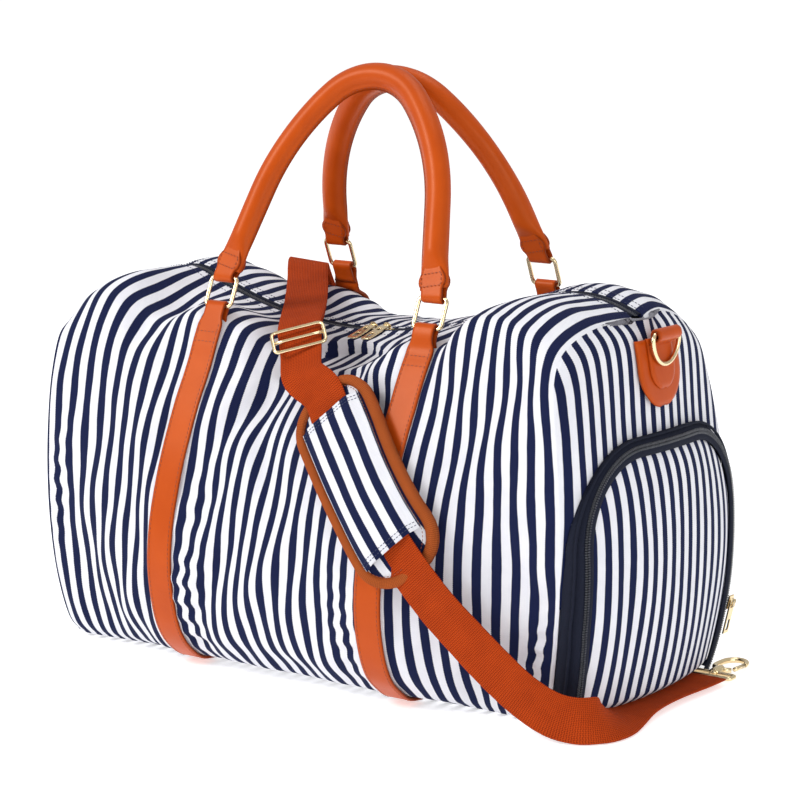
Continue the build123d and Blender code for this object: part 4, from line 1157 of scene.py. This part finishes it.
def handles():
    for side in SIGN:
        low, up, reach, out = ring_frame(side)
        flat = handle_line(side)
        line = curve(low + np.outer(flat[:, 0], (1, 0, 0)) + np.outer(flat[:, 1], up), step=3.0)
        run = lengths(line)
        end = np.minimum(run, run[-1] - run)
        soft = smoothstep((end - 7) / 26)[:, None]
        a = np.arange(28) * 2 * np.pi / 28
        flange = 3.6 * np.exp(-((a - np.pi) / 0.17) ** 2)
        tube = np.stack([np.cos(a) * (TUBE_R + flange), np.sin(a) * TUBE_R], -1)
        tab = np.stack([np.sign(np.cos(a)) * np.abs(np.cos(a)) ** 0.45 * 13.6,
                        np.sign(np.sin(a)) * np.abs(np.sin(a)) ** 0.6 * 2.9], -1)
        shape = tube[None] * soft[..., None] + tab[None] * (1 - soft[..., None])
        shape[:, :, 1] *= 1 + 0.05 * np.sin(run / 19)[:, None] * soft
        rings_at = rings_along(line, out, shape)
        tangent = unit(np.gradient(line, axis=0))
        side_way = unit(np.cross(tangent, out))
        inwards = np.einsum("ij,ij->i", side_way, np.array([low + up * reach * 0.55] * len(line)) - line) > 0
        if inwards.mean() > 0.5:
            shape = shape * (-1, 1)
            rings_at = rings_along(line, out, shape)
        edge = np.exp(-((a - np.pi) / 0.09) ** 2)[None] * soft * 0.8
        grip = loft(f"{side}_handle_grip", rings_at, LEATHER, f"{side}_handle", edge=edge)
        inner = side_way if inwards.mean() > 0.5 else -side_way
        keep = slice(12, -12)
        seams = [(line + inner * (TUBE_R + 1.7) + out * s * 1.15)[keep] for s in (-1, 1)]
        facings = [np.broadcast_to(out * s, line[keep].shape) for s in (-1, 1)]
        stitches = [beads(f"{side}_handle_stitches", seams, facings, 4.0, (2.9, 0.7, 0.7),
                          TAN_THREAD, f"{side}_handle")]
        pieces = [grip]
        lean = math.radians(LEG_LEAN)
        for sign in (-1, 1):
            bar = low + up * (RING_HIGH - WIRE) + (sign * STRAP_X, 0, 0)
            leg = up * math.cos(lean) - np.array([sign * math.sin(lean), 0, 0])
            radius = (LOOP_IN + LOOP_OUT) / 2
            arc = [bar + out * radius * math.cos(t) - up * radius * math.sin(t) for t in np.linspace(0, math.pi, 7)]
            ways = [out * math.cos(t) - up * math.sin(t) for t in np.linspace(0, math.pi, 7)]
            down = [bar + leg * t + out * (radius + g) for t, g in ((31, 0.9), (22, 0.6), (12, 0.2))]
            back = [bar + leg * t - out * (radius + g) for t, g in ((12, 0.2), (22, 0.6), (31, 0.9))]
            points = np.vstack([down, arc, back])
            facing = np.vstack([[out] * 3, ways, [-out] * 3])
            tongue = curve(np.hstack([points, facing]), step=2.5)
            near = np.linalg.norm(tongue[:, :3] - bar, axis=1)
            wide = LOOP_WIDE + (TAB_WIDE - LOOP_WIDE) * smoothstep((near - 7) / 6)
            wide -= 9.5 * smoothstep((near - 15) / 12)
            shape, edge = flat_section(TAB_WIDE, 2.3)
            section_at = shape[None] * np.stack([wide / TAB_WIDE, np.ones(len(wide))], -1)[:, None]
            name = "right" if sign > 0 else "left"
            tab_rings = rings_along(tongue[:, :3], unit(tongue[:, 3:]), section_at)
            pieces.append(loft(f"{side}_{name}_tab", tab_rings, LEATHER, f"{side}_handle", edge=edge[None]))
            lines, facings = [], []
            for s in (-1, 1):
                across = np.cross(leg, out)
                rim = [bar + leg * t + across * 9.8 * u + out * s * (radius + 2.1)
                       for t, u in ((9, -1), (20, -1), (20, 1), (9, 1))]
                lines.append(np.vstack([np.linspace(p, q, 8)[:-1] for p, q in zip(rim, rim[1:] + rim[:1])]))
                facings.append(np.broadcast_to(out * s, lines[-1].shape))
            stitches.append(beads(f"{side}_{name}_tab_stitches", lines, facings, 3.6, (2.7, 0.75, 0.5),
                                  TAN_THREAD, f"{side}_handle"))
        whole = join(f"{side}_handle_leather", *pieces)
        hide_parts(f"{side}_handle_cover")
        thread = join(f"{side}_handle_stitches", *stitches)


rings()
leather_straps()
handles()

# ---- D-ring tabs --------------------------------------------------------------------------
def patch_rows(wide, top, bottom, round_from):
    """Rows (half width, height) of a tab with a straight top and a round bottom."""
    zs = list(np.linspace(top, round_from, 10)) + [round_from - (round_from - bottom) * math.sin(a)
                                                 for a in np.linspace(0, math.pi / 2 - 0.03, 12)[1:]]
    rows = []
    for z in zs:
        t = max(0.0, (round_from - z) / (round_from - bottom))
        rows.append((wide / 2 * math.sqrt(max(0.0, 1 - t * t)), z))
    return rows


def end_tabs():
    px, pz = D_PIVOT
    for hand, sign in (("left", -1), ("right", 1)):
        parts, lines, facings = [], [], []
        patch_low = PATCH_TOP - PATCH_HIGH
        layers = (("patch", patch_rows(PATCH_WIDE, PATCH_TOP, patch_low, patch_low + 30), 0.3, 2.5),
                  ("tongue", patch_rows(TONGUE_WIDE, PATCH_TOP + 1, PATCH_TOP - 40, PATCH_TOP - 24), 2.8, 2.6))
        for label, rows, low, thick in layers:
            t = np.linspace(-1, 1, 25)
            y = np.array([[h * u for u in t] for h, _ in rows])
            z = np.array([[z] * 25 for _, z in rows])
            half = np.array([[max(h, 0.01)] for h, _ in rows])
            rim = np.minimum(half - np.abs(y), z - rows[-1][1])
            x = dome_x(y, z) + low + thick * (0.55 + 0.45 * smoothstep(rim / 2.2))
            grid = np.stack([sign * x, y, z], axis=-1)
            parts.append(wall(f"{hand}_tab_{label}", grid, grid[..., 1:].copy(), LEATHER, thick, outward=-sign))
            inset = 3.2 if label == "patch" else 3.0
            edge = [(-(h - inset), z) for h, z in rows if h > inset + 2 and z < PATCH_TOP - 2]
            loop = np.array(edge + [(-y, z) for y, z in reversed(edge)])
            loop = curve(np.hstack([loop, np.zeros((len(loop), 1))]), step=2.5)[:, :2]
            if label == "patch":
                loop = np.vstack([[(-8, PATCH_TOP - 3.2)], [(-(PATCH_WIDE / 2 - inset), PATCH_TOP - 3.2)], loop,
                                  [(PATCH_WIDE / 2 - inset, PATCH_TOP - 3.2)], [(8, PATCH_TOP - 3.2)]])
            lift = low + thick + 0.25
            lines.append(np.array([(sign * (float(dome_x(y, z)) + lift), y, z) for y, z in loop]))
            facings.append(np.broadcast_to((sign, 0, 0.3), lines[-1].shape))
        radius = 3.55
        low_x = float(dome_x(0, PATCH_TOP)) + 4.1
        points = [(low_x, 0, PATCH_TOP - 6), (px + radius - 0.6, 0, pz - 4)]
        ways = [(1, 0, 0.2), (1, 0, -0.2)]
        for a in np.linspace(0, math.pi * 1.05, 8):
            points.append((px + radius * math.cos(a), 0, pz + radius * math.sin(a)))
            ways.append((math.cos(a), 0, math.sin(a)))
        points.append((px - radius + 0.4, 0, pz - 7))
        ways.append((-1, 0, 0))
        line = curve(np.hstack([np.array(points), np.array(ways)]) * (sign, 1, 1, sign, 1, 1), step=1.5)
        shape, edge = flat_section(TONGUE_WIDE, 2.4)
        loop_rings = rings_along(line[:, :3], unit(line[:, 3:]), shape)
        parts.append(loft(f"{hand}_tab_loop", loop_rings, LEATHER, edge=edge[None]))
        tab = join(f"{hand}_ring_tab_leather", *parts)
        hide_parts(f"{hand}_ring_tab")
        beads(f"{hand}_tab_stitches", lines, facings, 3.9, (2.8, 0.75, 0.5), TAN_THREAD)
        arc = [(sign * px, -D_WIDE / 2 * math.cos(a), pz - D_DROP * math.sin(a) ** 0.9)
               for a in np.linspace(0, math.pi, 21)]
        bar = [(sign * px, y, pz) for y in np.linspace(D_WIDE / 2 - 3, -D_WIDE / 2 + 3, 7)]
        flat = np.array([(p[1], p[2]) for p in arc[1:-1]] + [(p[1], p[2]) for p in bar])
        path = np.column_stack([np.full(len(flat), sign * px), flat])
        ob = wire(f"{hand}_d_ring_wire", path, 2.0, f"{hand}_d", True, (1, 0, 0))
        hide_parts(f"{hand}_d_ring")


end_tabs()

# ---- shoulder strap -----------------------------------------------------------------------
# the webbing's middle line, each point with the way its face looks there
OVER_TOP = [
    ((-171, 179, 116), (0, 1, 0)),
    ((-171, 180, 160), (0, 1, 0.1)),
    ((-170, 168, 206), (0, 1, 0.4)),
    ((-168, 146, 252), (0, 1, 0.6)),
    ((-167, 124, 292), (0, 1, 0.8)),
    ((-166, 106, 321), (0, 0.7, 1)),
    ((-158, 90, 327), (0, 0.2, 1)),
    ((-127, 50, 318), (0, 0, 1)),
    ((-88, -2, 310), (0, 0, 1)),
    ((-52, -52, 306), (0, -0.1, 1)),
    ((-22, -95, 301), (0.1, -0.5, 1)),
    ((-12, -107, 295), (0.2, -0.8, 1)),
]
DOWN_TO_PAD = [
    ((-2, -119, 285), (0.1, -1, 1)),
    ((14, -137, 270), (0.1, -1, 0.8)),
]
TO_FLOOR = [
    ((181, -177, 103), (0.1, -1, 0)),
    ((203, -170, 80), (0.15, -1, 0)),
    ((226, -164, 58), (0.2, -1, 0)),
    ((250, -158, 38), (0.2, -1, 0)),
    ((274, -151, 24), (0.3, -1, 0.05)),
    ((293, -142, 19.3), (0.6, -1, 0.12)),
    ((304, -126, 18), (1, -0.5, 0.45)),
    ((304, -103, 13), (0.8, 0, 1)),
    ((297, -78, 8), (0.3, 0, 1)),
    ((290, -50, 6.2), (0.05, 0, 1)),
    ((286, -20, 5.7), (0, 0, 1)),
    ((285, 12, 5.5), (0, 0, 1)),
    ((286, 35, 5.3), (0, 0, 1)),
    ((287, 55, 5.2), (0, 0, 1)),
    ((287, 75, 5.2), (0, 0, 1)),
]


def pad_place(along, across, stand):
    """Place over the front cloth from pad coordinates, and the way the pad faces there."""
    lean = math.radians(PAD_LEAN)
    x = PAD_CENTRE[0] + along * math.sin(lean) + across * math.cos(lean)
    z = PAD_CENTRE[1] - along * math.cos(lean) + across * math.sin(lean)
    y, above, below = face_y(x, z), face_y(x, z + 6), face_y(x, z - 6)
    way = unit(np.array([0, -12.0, below - above]))
    return np.array([x, -y, z]) + way * stand, way


def through_pad():
    return [tuple(map(tuple, pad_place(28 * step, 0, PAD_STAND + PAD_THICK + 2.6))) for step in range(-3, 4)]


def ribbon(name, stations, lift=0.0, waves=0.0):
    """Webbing along stations of (place, way its face looks), raised by lift with small waves."""
    line = curve([p + w for p, w in stations], step=5.0)
    path, way = line[:, :3], unit(line[:, 3:])
    run = lengths(path)
    path = path + way * (lift + waves * np.sin(run / 17)[:, None])
    shape, _ = flat_section(WEB_WIDE, WEB_THICK, 3)
    uv = np.stack(np.broadcast_arrays(shape[None, :, 0] + WEB_WIDE / 2, run[:, None]), axis=-1)
    return loft(name, rings_along(path, way, shape), WEBBING, uv=uv)


def shoulder_strap():
    route = OVER_TOP + DOWN_TO_PAD + through_pad() + TO_FLOOR
    main = ribbon("strap_main", route)
    second = ribbon("strap_second", OVER_TOP, WEB_THICK + 0.6, waves=0.25)
    webbing = join("shoulder_strap_webbing", main, second)
    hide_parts("shoulder_strap", "strap_second_layer")
    return webbing


webbing = shoulder_strap()


def pad_outline(inset, count=96):
    """Rounded oblong in pad coordinates: (along, across)."""
    long, wide, r = PAD_LONG / 2 - inset, PAD_WIDE / 2 - inset, PAD_ROUND - inset
    points = []
    for sx, sy, start in ((1, 1, 0), (-1, 1, 90), (-1, -1, 180), (1, -1, 270)):
        for i in range(9):
            a = math.radians(start + 90 * i / 8)
            points.append((sx * (long - r) + r * math.cos(a), sy * (wide - r) + r * math.sin(a)))
    points.append(points[0])
    points = np.array(points)
    at = np.linspace(0, lengths(points)[-1], count + 1)[:-1]
    return np.stack([np.interp(at, lengths(points), points[:, k]) for k in (0, 1)], -1)


def shoulder_pad():
    rim = pad_outline(1.5)
    rings_at, uv = [], []
    profile = [(0.02, 0.0), (0.35, 0.0), (0.7, 0.15), (0.92, 0.6), (1.0, 2.4), (1.0, 5.0),
               (0.95, 7.3), (0.88, 8.6), (0.72, 10.1), (0.5, 10.7), (0.25, 10.9), (0.02, 11.0)]
    for scale, high in profile:
        ring = rim * scale
        rings_at.append([pad_place(a, b, PAD_STAND + high)[0] for a, b in ring])
        uv.append(ring[:, ::-1])
    pad = loft("pad_cushion", np.array(rings_at), CANVAS, uv=np.array(uv))
    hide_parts("pad_base")
    edge_line = pad_outline(1.0, 140)
    middle = np.array([pad_place(a, b, PAD_STAND + 5.2)[0] for a, b in edge_line])
    ways = np.array([pad_place(a, b, PAD_STAND + 5.2)[1] for a, b in edge_line])
    a = np.arange(18) * 2 * np.pi / 18
    shape = np.stack([np.sign(np.cos(a)) * np.abs(np.cos(a)) ** 0.7 * 4.7,
                      np.sign(np.sin(a)) * np.abs(np.sin(a)) ** 0.7 * 5.4], -1)
    around = lengths(np.vstack([shape, shape[:1]]))[:-1]
    run = lengths(middle)
    uv = np.stack(np.broadcast_arrays(around[None], run[:, None]), -1)
    rim_ob = loft("pad_binding_tape", rings_along(middle, ways, shape, True), BINDING, closed=True, uv=uv)
    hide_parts("pad_binding")
    inner = pad_outline(6.1, 140)
    stitch = np.array([pad_place(p, q, PAD_STAND + 10.35)[0] for p, q in inner])
    beads("pad_binding_stitches", [np.vstack([stitch, stitch[:1]])], [np.vstack([ways, ways[:1]])], 3.2,
                  (2.4, 0.7, 0.5), TAN_THREAD)


def pad_sleeve():
    """Striped cloth stitched over the pad near both ends; the webbing runs under it."""
    long, wide = 128.0, 57.0
    along = np.linspace(-long / 2, long / 2, 45)
    across = np.linspace(-wide / 2, wide / 2, 27)
    grid, uv = np.zeros((45, 27, 3)), np.zeros((45, 27, 2))
    for i, a in enumerate(along):
        for j, b in enumerate(across):
            over = 1 - smoothstep((abs(b) - 18) / 9)
            pinched = smoothstep((long / 2 - abs(a)) / 9)
            side = smoothstep((wide / 2 - abs(b)) / 5)
            high = 11.6 + (1.0 + 4.0 * over + 1.0 * pinched * over) * side
            high += 0.35 * math.sin(a / 9.0 + b / 14) * over
            grid[i, j] = pad_place(a, b, PAD_STAND + high)[0]
            uv[i, j] = (b, a)
    sleeve = wall("pad_sleeve_cloth", grid, uv, CANVAS, 1.1, outward=1)
    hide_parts("pad_sleeve")
    lines, ways = [], []
    for a in (-long / 2 + 3, -long / 2 + 6.5, long / 2 - 6.5, long / 2 - 3):
        i = int(np.abs(along - a).argmin())
        way = np.array([pad_place(a, b, 0)[1] for b in across])
        lines.append(grid[i] + way * 0.35)
        ways.append(way)
    beads("pad_sleeve_stitches", lines, ways, 3.0, (2.3, 0.7, 0.5), NAVY_THREAD)
    return sleeve


shoulder_pad()
pad_sleeve()


def glide():
    """Slide on the webbing: a wire frame with a middle bar, set square to it."""
    along = unit(np.array([29.0, -24.0, -29.0]))
    side = unit(np.cross((0.25, -0.6, 0.76), along))
    up = np.cross(along, side)
    at = np.array([-10.0, -110.0, 291.5]) + up * 7.6
    gx, gy = (48 - 3.2) / 2, (26 - 3.2) / 2
    flat = rounded_loop([(-gx, -gy), (gx, -gy), (gx, gy), (-gx, gy)], 5)
    path = at + np.outer(flat[:, 0], side) + np.outer(flat[:, 1], along)
    frame_wire = wire("slide_frame", path, 1.6, "glide", True, up)
    bar = wire("slide_bar", at + np.outer(np.linspace(-gx, gx, 5), side), 1.5, "glide", up=up)
    ob = join("strap_slide_wire", frame_wire, bar)
    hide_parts("strap_glide")


glide()


HOOK_PATH = ((0, 7), (-6, 11), (-10.6, 17), (-11.4, 27), (-10.4, 37),
             (-5, 43.6), (1, 44.6), (7, 41.6), (10, 35), (10, 33))


def snap_hooks():
    """Swivel eye, hook and sprung gate at each end of the strap."""
    for name, at, x_way, y_way in (("front", (287, 92, 5.2), (1, 0, 0), (0, 1, 0)),
                                   ("back", (-171, 181, 102), (1, 0, 0), (0, 0, -1))):
        at, x_way, y_way = (np.array(v, float) for v in (at, x_way, y_way))
        up = np.cross(x_way, y_way)

        def spot(points):
            return at + np.outer([p[0] for p in points], x_way) + np.outer([p[1] for p in points], y_way)

        loop = rounded_loop([(-21, -14), (21, -14), (21, -3), (-21, -3)], 4.0)
        eye = wire("e", spot(loop), 1.9, "root", True, up)
        collar = wire("c", spot([(0, -4.6), (0, -4.2), (0, 3.6), (0, 4.0)]), 4.5, "root", up=up, count=20)
        ob = join(f"{name}_swivel_eye", eye, collar)
        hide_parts(f"{name}_hook_eye")
        line = curve([(x, y, 0) for x, y in HOOK_PATH], step=1.5)
        taper = 2.6 - 0.5 * smoothstep((np.arange(len(line)) / len(line) - 0.75) / 0.25)
        rings_at = rings_along(spot(line[:, :2]), up, round_section(1.0, 12)[None] * taper[:, None, None])
        hook = loft("h", rings_at, GOLD, f"{name}_snap")
        barrel = wire("b", spot([(0, 4.4), (0, 4.8), (0, 8.6), (0, 9.2)]), 4.3, f"{name}_snap", up=up, count=20)
        pin = wire("p", spot([(0, -6.8), (0, -6.4), (0, -5.4), (0, -5.2)]), 3.4, f"{name}_snap", up=up, count=20)
        arm = wire("a", spot([(0, 7.5), (3, 8.8), (8.5, 12)]), 2.3, f"{name}_snap", up=up)
        hook = join(f"{name}_snap_hook", hook, barrel, pin, arm)
        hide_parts(f"{name}_hook")
        gate = wire(f"{name}_snap_gate", spot([(9.3, 15.4), (9.6, 22), (10, 32.6)]), 1.9, f"{name}_gate", up=up)
        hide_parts(f"{name}_hook_gate")


snap_hooks()

# ---- the frame's own parts ----------------------------------------------------------------
def shoe_slide():
    """The shoe zip's slider and pull, moved out to the stuffed door's teeth line."""
    for node, name, body in (("shoe_zip_slider", "shoe_slider_metal", "shoe_slider"),
                             ("shoe_zip_pull", "shoe_pull_metal", "shoe_pull")):
        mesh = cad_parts[node].data.copy()
        bm = bmesh.new()
        bm.from_mesh(mesh)
        bmesh.ops.remove_doubles(bm, verts=bm.verts, dist=0.00002)
        low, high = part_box("shoe_zip_slider")
        middle_z = (low[2] + high[2]) / 2 / MM
        frame_x = bulge_x(TEETH_HALF, middle_z, FRAME_DOOR_R, FRAME_DOOR_APEX)
        aside = float(door_x(TEETH_HALF, middle_z) - frame_x)
        bmesh.ops.translate(bm, verts=bm.verts, vec=(aside * MM, 0, 0))
        bm.to_mesh(mesh)
        bm.free()
        mesh.name = name
        mesh.materials.clear()
        mesh.materials.append(GOLD)
        ob = bpy.data.objects.new(name, mesh)
        bpy.context.scene.collection.objects.link(ob)
        ob.data.set_sharp_from_angle(angle=math.radians(35))
        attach(ob, body)
        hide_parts(node)


shoe_slide()

OWN_FINISH = {"base_board": BOARD, "shoe_pouch": LINING, "front_handle_core": FOAM, "back_handle_core": FOAM}
for node, finish in OWN_FINISH.items():
    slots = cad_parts[node].material_slots
    for slot in slots:
        slot.material = finish

# ---- floor, light and camera --------------------------------------------------------------
def stage():
    mesh = bpy.data.meshes.new("floor")
    far, low = 30.0, -0.0005
    corners = [(-far, -far, low), (far, -far, low), (far, far, low), (-far, far, low)]
    mesh.from_pydata(corners, [], [(0, 1, 2, 3)])
    mesh.materials.append(FLOOR)
    floor = bpy.data.objects.new("floor", mesh)
    bpy.context.scene.collection.objects.link(floor)
    world = bpy.data.worlds.new("studio")
    bpy.context.scene.world = world
    world.use_nodes = True
    world.node_tree.nodes["Background"].inputs[0].default_value = (1, 1, 1, 1)
    world.node_tree.nodes["Background"].inputs[1].default_value = 0.55


def lamp(name, at, aim, size, watts, tint=(1, 1, 1)):
    light = bpy.data.lights.new(name, "AREA")
    light.shape = "RECTANGLE"
    light.size, light.size_y = size
    light.energy = watts
    light.color = tint
    ob = bpy.data.objects.new(name, light)
    ob.location = at
    ob.rotation_euler = (Vector(aim) - Vector(at)).to_track_quat("-Z", "Y").to_euler()
    bpy.context.scene.collection.objects.link(ob)


def camera():
    """The view: its turn and height in degrees, distance, and where it looks."""
    turn, height, distance = math.radians(36.18), math.radians(10.15), 2.42769
    back = Vector((math.sin(turn) * math.cos(height), -math.cos(turn) * math.cos(height), math.sin(height)))
    right = Vector((math.cos(turn), math.sin(turn), 0))
    up = back.cross(right)
    target = Vector((0, 0, 0.150)) + right * 0.01205 + up * 0.07638
    data = bpy.data.cameras.new("camera")
    data.lens, data.sensor_width = 122.5, 36.0
    data.clip_end = 100
    ob = bpy.data.objects.new("camera", data)
    ob.location = target + back * distance
    ob.rotation_euler = (-back).to_track_quat("-Z", "Y").to_euler()
    bpy.context.scene.collection.objects.link(ob)
    bpy.context.scene.camera = ob


stage()
lamp("key", (-1.3, -2.0, 1.9), (0, 0, 0.2), (1.0, 1.0), 50)
lamp("fill", (2.6, -1.0, 1.0), (0, 0, 0.15), (1.4, 1.4), 19)
lamp("top", (0.2, 0.4, 2.8), (0, 0, 0), (1.4, 1.4), 17)
camera()
view = bpy.context.scene.view_settings
view.view_transform = "Standard"
view.look = "None"
